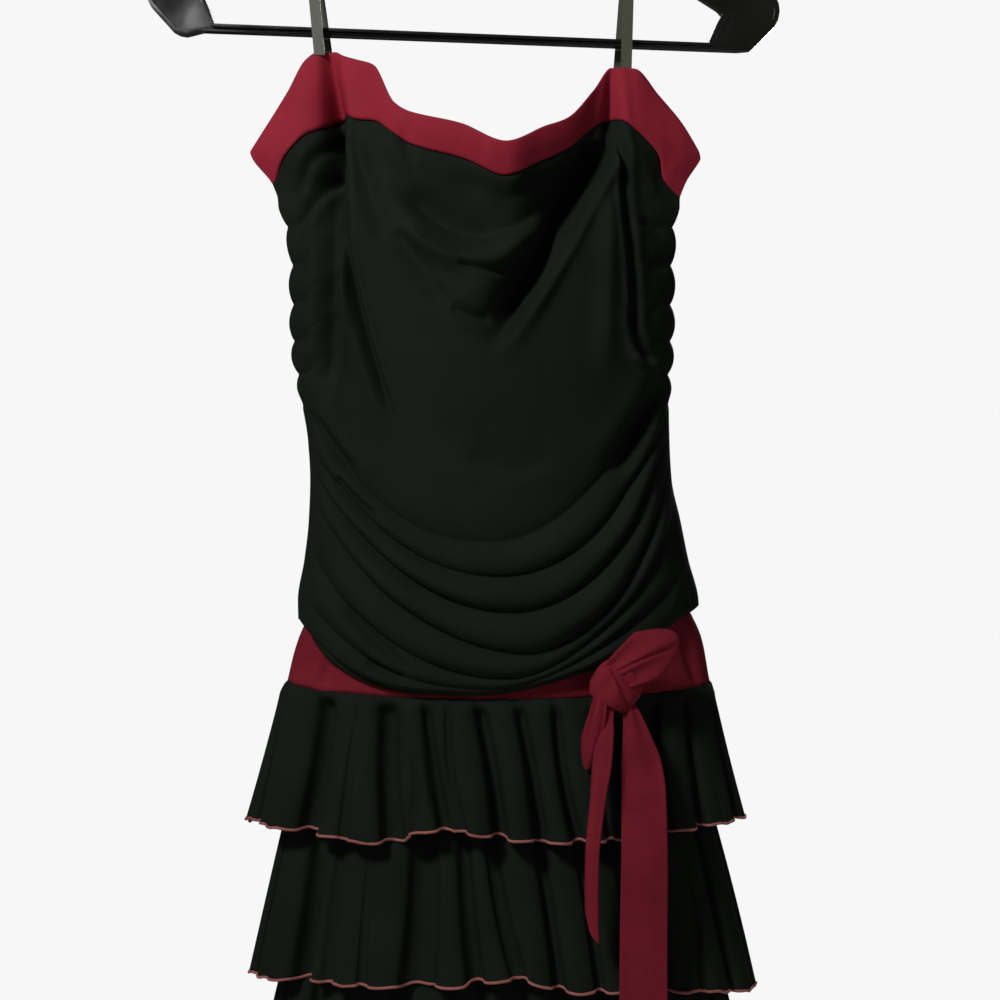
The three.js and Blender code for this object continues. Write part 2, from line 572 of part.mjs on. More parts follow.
async function hangerMesh() {
  const wasm = await manifoldModule();
  wasm.setup();
  const { CrossSection } = wasm;
  const disc = (x, z, r) => CrossSection.circle(r, HANGER_ARC_STEPS).translate(x, z);
  const chain = (points) => CrossSection.union(points.slice(1).map((p, i) => CrossSection.hull(
    [disc(points[i].x, points[i].z, points[i].half), disc(p.x, p.z, p.half)],
  )));
  const arc = range(HANGER_ARC_STEPS + 1).map((k) => {
    const a = toAngle(mix(HOOK.start, HOOK.end, k / HANGER_ARC_STEPS));
    return {
      x: HOOK.radius * Math.cos(a), z: HOOK.radius * Math.sin(a) - HOOK.bearing, half: HOOK.halfWidth,
    };
  });
  const onSide = (points, side) => points.map((p) => ({ ...p, x: side * p.x }));
  const bar = [-1, 1].map((side) => ({ x: side * BAR.end, z: BAR.z, half: BAR.half }));
  const outline = CrossSection.union([
    chain(arc), chain([arc[arc.length - 1], ...SHANK]), chain(bar),
    ...[-1, 1].flatMap((side) => [chain(onSide(SHOULDER, side)), chain(onSide(SHOULDER_END, side))]),
  ]);
  const rim = outline.subtract(outline.offset(-HANGER_RIM, 'Round', 2, HANGER_ARC_STEPS));
  const web = outline.extrude(HANGER_WEB).translate([0, 0, -HANGER_WEB / 2]);
  const edge = rim.extrude(HANGER_THICKNESS).translate([0, 0, -HANGER_THICKNESS / 2]);
  const solid = web.add(edge).rotate([90, 0, 0]);
  const { vertProperties, triVerts, numProp } = solid.getMesh();
  const geometry = new THREE.BufferGeometry();
  const positions = [];
  for (let i = 0; i < vertProperties.length; i += numProp) {
    positions.push(...vertProperties.slice(i, i + 3));
  }
  geometry.setAttribute('position', new THREE.Float32BufferAttribute(positions, 3));
  geometry.setIndex([...triVerts]);
  geometry.computeVertexNormals();
  const mesh = new THREE.Mesh(geometry, materials.hanger);
  mesh.name = 'hanger';
  return mesh;
}

// Assembly.
const dress = new THREE.Group();
dress.name = 'tiered_dress_on_hanger';

const bodice = new THREE.Group();
bodice.add(
  ...panelPieces(-1, NECK_FRONT, FRONT_SWAGS, FRONT_FOLDS, 40, UPPER_ROWS,
    { band: 'neck_band_front', body: 'bodice_front' }),
  ...panelPieces(1, NECK_BACK, BACK_SWAGS, BACK_FOLDS, 20, UPPER_ROWS,
    { band: 'neck_band_back', body: 'bodice_back' }),
);

const hipGrid = [HIP_BAND_TOP, (HIP_BAND_TOP + HIP_BAND_BASE) / 2, HIP_BAND_BASE].map((z) => {
  const section = Object.fromEntries(['left', 'right', 'front', 'back'].map(
    (key) => [key, column(HIP_SECTIONS, 'z', key, z)],
  ));
  return ringAngles.map((angle) => ringPoint(section, angle, 0, z));
});
const skirt = new THREE.Group();
skirt.add(clothSolid('hip_band', materials.wine, hipGrid, SATIN_WALL, { wrap: true, flatEdges: true }));
TIERS.forEach((tier) => skirt.add(
  clothSolid(tier.name, materials.ruffle, tierGrid(tier), RUFFLE_WALL, { wrap: true, flatEdges: true }),
));
skirt.add(clothSolid('underskirt', materials.ruffle,
  UNDERSKIRT_ROWS.map((row) => ringAngles.map((angle) => ringPoint(row, angle, 0, row.z))),
  JERSEY_WALL, { wrap: true, flatEdges: true }));

const sash = new THREE.Group();
sash.position.y = SASH_SEAT;
sash.add(
  knotSleeve(),
  strip('sash_tail_long', materials.sash, LONG_TAIL, SASH_WALL),
  strip('sash_tail_short', materials.sash, SHORT_TAIL, SASH_WALL),
  ...Object.entries(LOOPS).map(([name, loop]) => loopStrip(name, materials.sash, loop)),
);

const straps = new THREE.Group();
Object.entries(STRAPS).forEach(([name, strap]) => straps.add(
  strip(name, materials.strap, strapRows(strap), STRAP_WALL, 1),
));

const hangerGroup = new THREE.Group();
hangerGroup.rotation.y = HANGER_TILT;
hangerGroup.add(await hangerMesh());

dress.add(bodice, skirt, sash, straps, hangerGroup);

export default dress;
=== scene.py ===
import math

import bmesh
import bpy
import numpy as np
from bpy.props import FloatProperty, FloatVectorProperty, IntProperty, PointerProperty
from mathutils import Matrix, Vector


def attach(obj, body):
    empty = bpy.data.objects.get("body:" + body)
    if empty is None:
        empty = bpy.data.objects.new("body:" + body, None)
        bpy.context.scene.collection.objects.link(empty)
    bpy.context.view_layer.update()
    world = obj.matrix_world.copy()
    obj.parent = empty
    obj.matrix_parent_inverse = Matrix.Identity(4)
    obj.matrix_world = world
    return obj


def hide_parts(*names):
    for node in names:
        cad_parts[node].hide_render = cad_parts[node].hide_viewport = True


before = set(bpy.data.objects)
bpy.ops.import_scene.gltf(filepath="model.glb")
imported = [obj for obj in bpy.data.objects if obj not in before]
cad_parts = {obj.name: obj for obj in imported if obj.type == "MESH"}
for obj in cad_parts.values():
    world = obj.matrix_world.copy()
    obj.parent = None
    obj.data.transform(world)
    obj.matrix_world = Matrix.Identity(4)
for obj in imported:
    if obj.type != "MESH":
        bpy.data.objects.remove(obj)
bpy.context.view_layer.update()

bl_info = {
    "name": "Tiered ruffle dress",
    "version": (1, 0, 0),
    "blender": (4, 5, 0),
    "location": "3D View > Sidebar > Dress",
    "description": "Draped jersey dress with ruffle tiers and a tied sash, on a moulded hanger",
    "category": "Add Mesh",
}

MM = 0.001


def named_rows(names, rows):
    """Rows of a table as dictionaries, by the names of its columns."""
    return [dict(zip(names.split(), row)) for row in rows]


# Bodice sections by height in mm: side seams, and depth at the middle.
BODICE_SECTIONS = named_rows("z left right front back", [
    (-200, -152.5, 160.5, 50, 34),
    (-264, -152.5, 160.5, 50, 34),
    (-288, -137.0, 147.0, 52, 36),
    (-313, -129.0, 141.0, 54, 38),
    (-340, -124.5, 139.5, 56, 40),
    (-395, -123.5, 139.0, 58, 41),
    (-437, -117.0, 136.5, 58, 42),
    (-465, -112.5, 137.0, 58, 42),
    (-492, -111.0, 138.5, 60, 43),
    (-520, -112.0, 144.5, 63, 45),
    (-547, -115.0, 150.0, 65, 48),
    (-575, -119.5, 157.0, 66, 50),
    (-600, -119.0, 158.0, 66, 51),
    (-632, -124.0, 163.0, 64, 51),
])
# The hip band, from its upper edge to its lower one.
HIP_SECTIONS = named_rows("z left right front back", [
    (-577, -108.0, 148.0, 52, 42),
    (-602, -118.5, 158.5, 54.5, 46),
    (-632, -126.5, 164.5, 56, 48),
])
# Folds of the hip band: degrees from the middle of the front at its upper edge,
# how far they move to its lower one, width in degrees and depth in mm.
HIP_FOLDS = [(-52, -3, 3.6, 6.5), (60, 9, 3.4, 4.5)]
ROUNDNESS = 0.6                # power that bows a cross-section: 0.5 would make an ellipse

# Neck line by position s across the panel, -1 and 1 being the side seams.
NECK_FRONT = named_rows("s top base y", [
    (-1.00, -265, -288, 0),
    (-0.83, -226, -267, -8),
    (-0.75, -205.5, -256, -12),
    (-0.69, -200, -252, -14),
    (-0.62, -199.5, -244, -11),
    (-0.58, -203, -243, -14),
    (-0.52, -207, -248, -20),
    (-0.44, -213, -250.5, -28),
    (-0.35, -240, -261, -36),
    (-0.28, -248, -269, -42),
    (-0.06, -258, -280, -48),
    (0.13, -271, -292, -55),
    (0.29, -259, -281, -44),
    (0.39, -251, -271, -34),
    (0.51, -228, -253, -20),
    (0.59, -211, -246, -13),
    (0.69, -212, -254, -15),
    (0.80, -229, -270, -9),
    (0.90, -246, -287, -5),
    (1.00, -270, -297, 0),
])
NECK_BACK = named_rows("s top base y", [
    (-1.00, -265, -288, 0),
    (-0.84, -236, -271, 9),
    (-0.68, -210, -249, 14),
    (-0.60, -210, -249, 15),
    (-0.40, -262, -294, 26),
    (-0.15, -283, -314, 34),
    (0.15, -288, -319, 35),
    (0.40, -268, -300, 26),
    (0.58, -219, -256, 15),
    (0.68, -217, -256, 14),
    (0.84, -243, -279, 8),
    (1.00, -270, -297, 0),
])

# Creases of the front neckline: position s at the seam, how far it moves to the
# top, half-width in s and depth in mm, where a negative depth goes in.
NECK_FOLDS = [
    (-0.70, 0.0, 0.04, -2),
    (-0.622, -0.03, 0.044, -17),
    (-0.548, -0.03, 0.036, 4.5),
    (-0.36, 0.02, 0.05, 3.5),
    (-0.30, 0.02, 0.025, -2.5),
    (0.12, 0.0, 0.05, -2.5),
    (0.49, 0.04, 0.05, -4),
    (0.58, 0.01, 0.026, -8),
    (0.645, -0.01, 0.035, 3.5),
    (0.80, 0.0, 0.05, 1.5),
]

# The neck band's wall: share of its height, and mm out from its form, from the
# seam up its outer face, over the fold and down inside.
BAND_WALL = [
    (0.0, -0.9), (0.0, 0.0), (0.06, 0.35), (0.15, 0.5), (0.3, 0.9), (0.45, 1.2),
    (0.6, 1.2), (0.75, 0.9), (0.88, 0.5), (0.96, 0.2), (0.99, -0.3), (1.0, -0.9),
    (0.985, -1.5), (0.9, -1.9), (0.6, -2.0), (0.2, -2.2),
]

# Troughs between the rolls of the blouson: heights at the seams and at the
# lowest point, where that point is, the curve of each arm, and the roll below.
FRONT_TROUGHS = named_rows("left mid right low pl pr roll", [
    (-440, -534, -424, -0.01, 2.4, 1.75, 5.0),
    (-466, -556, -444, 0.00, 2.0, 2.05, 7.5),
    (-482, -579, -457, 0.06, 1.9, 2.00, 8.0),
    (-500, -606, -480, 0.12, 1.9, 1.80, 6.5),
    (-530, -622, -507, 0.05, 2.2, 1.70, 5.0),
    (-563, -629, -545, -0.02, 2.6, 1.60, 3.5),
    (-586, -634, -578, -0.10, 3.2, 1.65, 0.0),
])
BACK_TROUGHS = named_rows("left mid right low pl pr roll", [
    (-440, -508, -424, 0.02, 2.0, 1.9, 3.5),
    (-472, -538, -452, -0.03, 2.0, 2.0, 4.0),
    (-500, -568, -478, 0.04, 1.9, 1.9, 4.2),
    (-530, -600, -507, 0.00, 2.0, 1.8, 3.6),
    (-563, -617, -545, -0.04, 2.4, 1.8, 2.4),
    (-588, -630, -578, -0.08, 3.0, 1.7, 0.0),
])

# Folds from the straps and seams in mm: start, pull and end as (x, z), half-width
# at both ends, depth, where a negative one goes in, and how much wider the fold
# is on the left of its downward run than on the right.
FRONT_FOLDS = [
    (-93, -246, -88, -350, -91, -452, 7.5, 7.5, -21, 0.45),
    (-87, -248, -85, -296, -80, -344, 6, 5, -9, 0.3),
    (-84, -322, -72, -396, -45, -462, 3.4, 3.4, -8.5, 0.2),
    (-80, -258, -66, -300, -52, -345, 5, 8, -4.0, 0),
    (-91, -284, -108, -300, -122, -336, 3.6, 4.5, -5.5, 0.2),
    (-98, -264, -112, -280, -123, -314, 3.2, 4, -4.0, 0.2),
    (-44, -322, 8, -380, 62, -312, 6, 7, 7.0, 0),
    (-44, -300, 6, -362, 60, -298, 8, 10, -9, -0.4),
    (-8, -350, 14, -360, 40, -353, 3, 4, -5.0, -0.2),
    (-48, -326, -34, -356, -6, -386, 7, 7, -4.5, 0.2),
    (-12, -380, 2, -389, 16, -388, 4, 4, -4.0, -0.2),
    (93, -262, 64, -330, 10, -412, 10, 10, -28, 0.45),
    (94, -300, 91, -360, 88, -430, 5, 8, 3.5, 0),
    (100, -254, 108, -350, 109, -396, 3.0, 3.4, -8.0, -0.2),
    (107, -378, 110, -406, 124, -415, 3.4, 4.0, -8.0, 0),
    (106, -408, 122, -426, 133, -408, 3.5, 3.5, 4.0, 0),
    (117, -316, 126, -320, 134, -328, 3.5, 4.5, -3.0, 0),
    (120, -345, 127, -346, 134, -352, 3.5, 4.5, -2.5, 0),
    (132, -424, 118, -456, 92, -494, 6, 8, -12, 0.3),
    (0, -474, 28, -496, 58, -474, 9, 9, -2.2, -0.3),
    (-106, -448, -92, -468, -74, -492, 4, 6, -6.0, 0.3),
    (-88, -490, -76, -506, -56, -521, 4, 5, -4.5, 0.3),
    (-82, -578, -60, -602, -32, -622, 3.5, 5, -4.5, 0),
    (-68, -612, -52, -620, -40, -626, 3, 4, -3.0, 0),
    (150, -555, 148, -574, 139, -590, 4, 5, -5.0, 0),
    (137, -525, 139, -540, 137, -552, 4, 4, -4.0, 0),
]
BACK_FOLDS = [
    (-96, -258, -84, -350, -60, -440, 6, 11, -10, 0),
    (-40, -326, 10, -398, 60, -326, 8, 10, -9, 0),
    (-34, -352, 10, -420, 54, -352, 7, 9, -5, 0),
    (104, -262, 94, -350, 70, -440, 6, 11, -10, 0),
    (-108, -300, -106, -370, -98, -440, 8, 10, 3.5, 0),
    (120, -300, 118, -370, 110, -440, 8, 10, 3.5, 0),
]
# Broad hollows of the front view: centre, half-widths and depth in mm.
FRONT_HOLLOWS = named_rows("x z rx rz depth", [
    (4, -306, 50, 24, -8),
    (56, -300, 34, 28, -12),
    (30, -330, 60, 50, -4),
    (12, -440, 70, 40, 4),
])
BACK_HOLLOWS = named_rows("x z rx rz depth", [
    (10, -360, 60, 34, -6),
    (10, -452, 80, 36, 3),
])
# Front edge of the gathered side strips: the cloth steps back outside these lines.
SIDE_STEPS = named_rows("z left right", [
    (-250, -84, 103),
    (-300, -90, 103),
    (-380, -91, 106),
    (-418, -91, 122),
    (-460, -91, 134),
])
GATHER_PITCH = 23.0            # the side seams are drawn up in pillows this far apart
GATHER_TOP, GATHER_FOOT = -268, -448
CLOTH_SWELL = 7.5              # no crease's shoulder stands further out than this
HANG = 95                      # below the neck the bodice takes this height to reach full depth
SIDE_SHARE = 0.45              # a relief at the side seams moves this share of it sideways

# Hem line round the skirt: degrees from the middle of the front, and how far
# the hem hangs below the tier's own hem height.
HEM_1 = [
    (-98, 2), (-79, -2), (-60, 0), (-39.5, 2), (-31, 4), (-23, 4), (-17, -4), (-10, -5),
    (-2.3, -3), (5, 0), (12, 2), (22.5, 1), (33, 0), (43, -1), (58, -3), (76, -4), (98, -3),
    (118, 1), (147, -2), (173, 2), (200, 1), (227, -1), (243, 1),
]
HEM_2 = [
    (-97, 8), (-78, 6), (-58, 4), (-42, 1), (-33, 0), (-20.5, 0), (-10.5, -2), (-2, -6), (4, -8),
    (9, -3), (14.5, 0), (21.5, 1), (30.5, 3), (39, 5), (52.5, 8), (70, 14), (90, 16), (110, 10),
    (142, 2), (170, 2), (198, 1), (227, 5), (244, 7),
]
HEM_3 = [(-96, 2), (-40, 0), (10, 3), (60, -1), (110, 2), (160, -2), (210, 1)]

# Folds of the flounces: degrees at the seam and at the hem, half-width in
# degrees, and depth in mm at the seam and at the hem.
FRONT_1 = [
    (-77, -75, 3.0, 2, 9), (-52, -51, 5.4, 14, 25), (-38, -37.7, 2.0, 1, 7),
    (-30, -24.6, 4.3, 14, 26), (-24, -17.7, 1.6, 0, 7), (-19.3, -12.2, 2.0, 9, 19),
    (-12.9, -8, 1.7, 3, 12), (-5.3, 0.6, 2.4, 12, 22), (5, 9.8, 2.2, 10, 20),
    (15, 18.2, 2.0, 8, 17), (24, 26, 1.6, 3, 9), (33, 34, 2.2, 5, 12), (44.6, 42, 3.2, 10, 18),
    (59, 55, 2.8, 8, 17), (74, 72, 3.0, 2, 9),
]
FRONT_2 = [
    (-76, -77, 2.6, 2, 9), (-58, -54, 5.5, 12, 24), (-45, -43, 2.0, 2, 10),
    (-34, -33, 1.8, 0, 6), (-21, -19.7, 5.7, 13, 25), (-10.4, -6.1, 2.4, 10, 20),
    (-3, 3.4, 2.6, 8, 15), (8, 12.2, 2.0, 7, 16), (19, 21.5, 1.8, 4, 11), (33, 31.5, 2.3, 6, 13),
    (42, 38, 3.0, 10, 20), (54, 50, 1.6, 0, 6), (66, 63, 2.6, 8, 10), (82, 80, 2.6, 2, 9),
]
FRONT_3 = [
    (-74, -73, 2.8, 2, 9), (-56, -57, 3.6, 8, 18), (-42, -39, 2.0, 2, 10),
    (-27, -26, 3.6, 9, 20), (-14, -12, 2.0, 4, 14), (-5, -2, 2.2, 7, 16), (5, 7, 1.6, 2, 9),
    (14, 17, 2.5, 6, 16), (27, 26, 1.8, 3, 10), (38, 37, 2.8, 7, 18), (52, 51, 1.9, 2, 10),
    (68, 66, 3.0, 6, 14),
]


def back_folds(start, step, turn):
    """Hidden side: uneven folds like the front's, deep ones between shallow ones."""
    folds, at, k = [], start, 0
    while at < 276 - step * 0.5:
        width, sunk_top, sunk_hem = (1.6, 2.5, 10) if k % 2 else (2.8, 9.0, 19)
        folds.append((at + 2.5 * math.sin(k * 1.7 + turn), at + 3.5 * math.sin(k * 2.3 + turn),
                      width + 0.6 * math.sin(k * 3.1 + turn), sunk_top,
                      sunk_hem + 1.5 * math.sin(k * 1.3 + turn)))
        at += step * (1 + 0.25 * math.sin(k * 2.9 + turn))
        k += 1
    return folds


# Flounces: how far the seam's height varies, heights of the seam and the hem, the
# cross-sections there, and how far the lobes puff out past them, all in mm.
TIERS = [
    dict(node="skirt_tier_1", seat=7.4, top=-632.3, hem=-726,
         hems=HEM_1, folds=FRONT_1 + back_folds(88, 11.5, 0.4),
         upper=dict(left=-127.0, right=165.0, front=57.5, back=49.5, puff=3.4),
         lower=dict(left=-147.5, right=184.5, front=74, back=68, puff=10.0)),
    dict(node="skirt_tier_2", seat=0, top=-701, hem=-823,
         hems=HEM_2, folds=FRONT_2 + back_folds(93, 12, 1.9),
         upper=dict(left=-121.5, right=159.5, front=48.5, back=42, puff=3.4),
         lower=dict(left=-147, right=192, front=75, back=69, puff=10.5)),
    dict(node="skirt_tier_3", seat=0, top=-799, hem=-924,
         hems=HEM_3, folds=FRONT_3 + back_folds(84, 12.5, 3.1),
         upper=dict(left=-122.0, right=163.5, front=49.5, back=43.5, puff=3.4),
         lower=dict(left=-147, right=193, front=74, back=68, puff=10.0)),
]
UNDERSKIRT_SECTIONS = named_rows("z left right front back", [
    (-620, -112.5, 150.5, 47.0, 39.0),
    (-634, -113.5, 151.5, 46.5, 38.5),
    (-699, -115.6, 154.0, 43.6, 38.2),
    (-730, -114.0, 154.4, 43.4, 38.0),
    (-797, -116.8, 158.4, 45.2, 40.2),
    (-820, -116.6, 157.8, 45.4, 40.4),
    (-862, -119.5, 161.5, 47.5, 42.5),
])

SASH_SEAT = 4.7                # the whole sash sits this far back, against the hip band
LOOP_WALL, KNOT_WALL, HIP_WALL = 1.3, 1.4, 1.2     # thickness of the cloth in mm
# The knot: its middle, half-width, height and depth in mm, and degrees of tilt.
KNOT = dict(x=96, y=-67.6, z=-627, reach=15.5, height=28, depth=9.0, tilt=30)

# Sash tails from the knot down: centre and width in mm, and degrees of turn.
LONG_TAIL = named_rows("x y z w turn", [
    (100, -66, -634, 8, 0),
    (106, -68, -646, 12, 0),
    (109.5, -70, -661, 19, -4),
    (112, -71.5, -676, 26, -6),
    (113, -77, -698, 29, 4),
    (113, -83, -737, 30, 3),
    (112.5, -83, -780, 31, -4),
    (112, -86, -826, 31, 2),
    (112, -86, -862, 31, 4),
    (112, -86, -898, 31, 0),
])
SHORT_TAIL = named_rows("x y z w turn", [
    (93, -69.0, -634, 5, 0),
    (89.5, -71.5, -646, 8, 6),
    (87.5, -76, -658, 12, 12),
    (85.5, -82, -676, 13, 20),
    (82.5, -89, -698, 10.5, 24),
    (78.5, -93, -737, 9.5, 28),
    (78, -94, -765, 9.5, 28),
    (79.5, -94, -779, 7.5, 28),
])


TAIL_ROWS, TAIL_COLUMNS = 90, 25
# Tails: piece, solid, path, bow across, pleats, whether it is folded lengthwise,
# slant of the tip, and cut size in m.
TAILS = [
    ("sash_long_end", "sash_tail_long", LONG_TAIL, 1.0, 1.2, False, 13.2, (0.032, 0.27)),
    ("sash_short_end", "sash_tail_short", SHORT_TAIL, 1.2, 1.0, True, -18, (0.022, 0.16)),
]

# The hanger's lower bar in mm: its height at x = 0 and its slope, how much of it
# counts as the bar, how slim it becomes, and its lift on the left and on the right.
BAR = dict(z=-188.9, slope=-0.0332, half_height=4.0, half_length=190, slim=0.65, lift=(2.6, 0.8))

# Lamps: name, place and size in m, and power in W. All point at LAMP_AIM.
LAMPS = [
    ("key", (-0.72, -1.05, 0.42), 0.3, 15),
    ("fill", (1.2, -1.3, -0.2), 1.0, 1.4),
    ("back", (0.5, 1.6, 0.3), 0.8, 18),
]
LAMP_AIM = (0.02, 0, -0.5)
EYE_X, EYE_Z = 0.020, -0.506   # the photo's middle in m, which the camera faces
FLOOR_RADIUS, FLOOR_Z = 1.05, -1.3


def srgb(value):
    """An sRGB hex colour as linear RGBA."""
    parts = [int(value[i:i + 2], 16) / 255 for i in (1, 3, 5)]
    return [c / 12.92 if c <= 0.04045 else ((c + 0.055) / 1.055) ** 2.4 for c in parts] + [1.0]


def ease(t):
    """Smooth step from 0 to 1."""
    t = np.clip(t, 0, 1)
    return t * t * (3 - 2 * t)


def mix(a, b, t):
    """Straight blend from a to b."""
    return a + (b - a) * t


def smooth(xs, ys, x):
    """Monotone cubic through a table, so that no kink shows between its rows."""
    xs, ys = np.asarray(xs, float), np.asarray(ys, float)
    if xs[0] > xs[-1]:
        xs, ys = xs[::-1], ys[::-1]
    step = np.diff(xs)
    rise = np.diff(ys) / step
    slope = np.zeros_like(ys)
    both = rise[:-1] * rise[1:]
    total = np.where(np.abs(rise[:-1] + rise[1:]) < 1e-9, 1, rise[:-1] + rise[1:])
    slope[1:-1] = np.where(both > 0, 2 * both / total, 0)
    slope[0], slope[-1] = rise[0], rise[-1]
    x = np.clip(x, xs[0], xs[-1])
    i = np.clip(np.searchsorted(xs, x) - 1, 0, len(xs) - 2)
    t = (x - xs[i]) / step[i]
    return ((2 * t ** 3 - 3 * t ** 2 + 1) * ys[i] + (t ** 3 - 2 * t ** 2 + t) * step[i] * slope[i]
            + (3 * t ** 2 - 2 * t ** 3) * ys[i + 1] + (t ** 3 - t ** 2) * step[i] * slope[i + 1])


def column(table, key, name, x):
    """One column of a table, read smoothly at x along its key."""
    return smooth([row[key] for row in table], [row[name] for row in table], x)


def section_at(table, z):
    """The cross-section that a table of sections gives at a height."""
    return {side: column(table, "z", side, z) for side in ("left", "right", "front", "back")}


def across(section, s):
    """The x of a position s in a cross-section, -1 and 1 being its side seams."""
    return (section["left"] + section["right"]) / 2 + (section["right"] - section["left"]) / 2 * s


def arch(s):
    """How deep a cross-section is at a position s, as a share of its depth at the middle."""
    return (1 - np.minimum(1, s * s)) ** ROUNDNESS


def add_object(name, data):
    """A new object, linked to the scene."""
    obj = bpy.data.objects.new(name, data)
    bpy.context.scene.collection.objects.link(obj)
    return obj


def grid_mesh(name, grid, wrap=False, close=False):
    """A cloth surface from rows of points in mm; columns run anticlockwise seen from above."""
    rows, cols = grid.shape[:2]
    mesh = bpy.data.meshes.new(name)
    spans_j = cols if wrap else cols - 1
    spans_i = rows if close else rows - 1
    i, j = np.meshgrid(np.arange(spans_i), np.arange(spans_j), indexing="ij")
    a, b = i * cols + j, ((i + 1) % rows) * cols + j
    c, d = ((i + 1) % rows) * cols + (j + 1) % cols, i * cols + (j + 1) % cols
    quads = np.stack([a, b, c, d], axis=-1).reshape(-1, 4)
    mesh.vertices.add(rows * cols)
    mesh.vertices.foreach_set("co", (grid.reshape(-1, 3) * MM).astype(np.float32).ravel())
    mesh.loops.add(quads.size)
    mesh.loops.foreach_set("vertex_index", quads.ravel().astype(np.int32))
    mesh.polygons.add(len(quads))
    mesh.polygons.foreach_set("loop_start", (np.arange(len(quads)) * 4).astype(np.int32))
    mesh.update(calc_edges=True)
    along = np.linalg.norm(np.diff(grid, axis=1, append=grid[:, :1]), axis=2).mean(axis=0)
    down = np.linalg.norm(np.diff(grid, axis=0, append=grid[:1]), axis=2).mean(axis=1)
    u = np.concatenate([[0], np.cumsum(along)]) * MM
    v = np.concatenate([[0], np.cumsum(down)]) * MM
    layer = mesh.uv_layers.new(name="Cloth")
    us = np.stack([u[j], u[j], u[j + 1], u[j + 1]], axis=-1).reshape(-1)
    vs = np.stack([v[i], v[i + 1], v[i + 1], v[i]], axis=-1).reshape(-1)
    layer.data.foreach_set("uv", np.stack([us, vs], axis=-1).astype(np.float32).ravel())
    mesh.polygons.foreach_set("use_smooth", np.ones(len(quads), dtype=bool))
    return add_object(name, mesh)


def solidify(obj, thickness):
    """Gives cloth its thickness in mm, inwards from its face."""
    wall = obj.modifiers.new("Wall", "SOLIDIFY")
    wall.thickness = thickness * MM
    wall.offset = -1
    wall.use_even_offset = False
    return obj


def settle(obj, material, nodes=()):
    """Gives a piece its material and body, and hides the solids that it stands for."""
    obj.data.materials.append(material)
    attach(obj, "root")
    if nodes:
        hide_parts(*nodes)


def hem_roll(name, path, radius, sides=6):
    """The thread rolled over a hem: a thin closed tube along points in mm."""
    path = np.asarray(path, float)
    tangent = np.roll(path, -1, axis=0) - np.roll(path, 1, axis=0)
    tangent /= np.linalg.norm(tangent, axis=1, keepdims=True)
    up = np.array([0.0, 0.0, 1.0])
    side = np.cross(tangent, up)
    side /= np.maximum(np.linalg.norm(side, axis=1, keepdims=True), 1e-9)
    lift = np.cross(side, tangent)
    turn = np.arange(sides) / sides * 2 * np.pi
    grid = (path[:, None] + radius * (np.cos(turn)[None, :, None] * side[:, None]
                                      + np.sin(turn)[None, :, None] * lift[:, None]))
    return grid_mesh(name, grid, wrap=True, close=True)


# Scale of a wave texture for stitches 1 mm apart: at scale 1 its waves repeat about
# three times a metre.
STITCH_SCALE = 1000 / 6.283 * 2


def add_node(tree, kind, settings=None, **links):
    """Adds one node: settings go on it or on its sockets, links join sockets to its inputs."""
    node = tree.nodes.new(kind)
    for key, value in (settings or {}).items():
        if key in node.inputs:
            node.inputs[key].default_value = value
        else:
            setattr(node, key, value)
    for key, socket in links.items():
        tree.links.new(socket, node.inputs[key.replace("_", " ")])
    return node


def blank_material(name):
    """A new material, its node tree and its shader."""
    material = bpy.data.materials.new(name)
    material.use_nodes = True
    return material, material.node_tree, material.node_tree.nodes["Principled BSDF"]


def cloth_material(name, colour, stitch_shade, roughness, sheen, pitch, relief, mottle, specular):
    """Cloth: pitch of the stitches and relief in mm, and a darker colour painted as shade in the
    knit's valleys.
    """
    material, tree, shader = blank_material(name)
    uv = add_node(tree, "ShaderNodeUVMap", {"uv_map": "Cloth"})
    ribs, courses = (add_node(tree, "ShaderNodeTexWave", {
        "wave_type": "BANDS", "bands_direction": direction, "Scale": STITCH_SCALE / pitch,
        "Distortion": 1.2, "Detail": 1.0}, Vector=uv.outputs["UV"]) for direction in "XY")
    knit = add_node(tree, "ShaderNodeMath", {"operation": "MULTIPLY"})
    tree.links.new(ribs.outputs["Fac"], knit.inputs[0])
    tree.links.new(courses.outputs["Fac"], knit.inputs[1])
    place = add_node(tree, "ShaderNodeTexCoord")
    cloud = add_node(tree, "ShaderNodeTexNoise", {"Scale": mottle, "Detail": 4.0, "Roughness": 0.6},
                     Vector=place.outputs["Object"])
    blend = add_node(tree, "ShaderNodeMath", {"operation": "MULTIPLY_ADD"})
    tree.links.new(cloud.outputs["Fac"], blend.inputs[0])
    blend.inputs[1].default_value = 0.75
    soft = add_node(tree, "ShaderNodeMath", {"operation": "MULTIPLY"})
    tree.links.new(knit.outputs["Value"], soft.inputs[0])
    soft.inputs[1].default_value = 0.4
    tree.links.new(soft.outputs["Value"], blend.inputs[2])
    ramp = add_node(tree, "ShaderNodeValToRGB", Fac=blend.outputs["Value"])
    # Painted shade: the ramp's dark end, the valleys colour, goes where the knit's valleys and the
    # random mottling are low. Its light end is the cloth's own colour.
    for element, place_on_ramp, tint in zip(ramp.color_ramp.elements, (0.2, 0.7), (stitch_shade, colour)):
        element.position = place_on_ramp
        element.color = [*tint, 1]
    bump = add_node(tree, "ShaderNodeBump", {"Strength": 0.35, "Distance": relief * MM},
                    Height=knit.outputs["Value"])
    tree.links.new(ramp.outputs["Color"], shader.inputs["Base Color"])
    tree.links.new(bump.outputs["Normal"], shader.inputs["Normal"])
    for key, value in (("Roughness", roughness), ("Sheen Weight", sheen), ("Sheen Roughness", 0.5),
                       ("Specular IOR Level", specular), ("IOR", 1.5)):
        shader.inputs[key].default_value = value
    return material


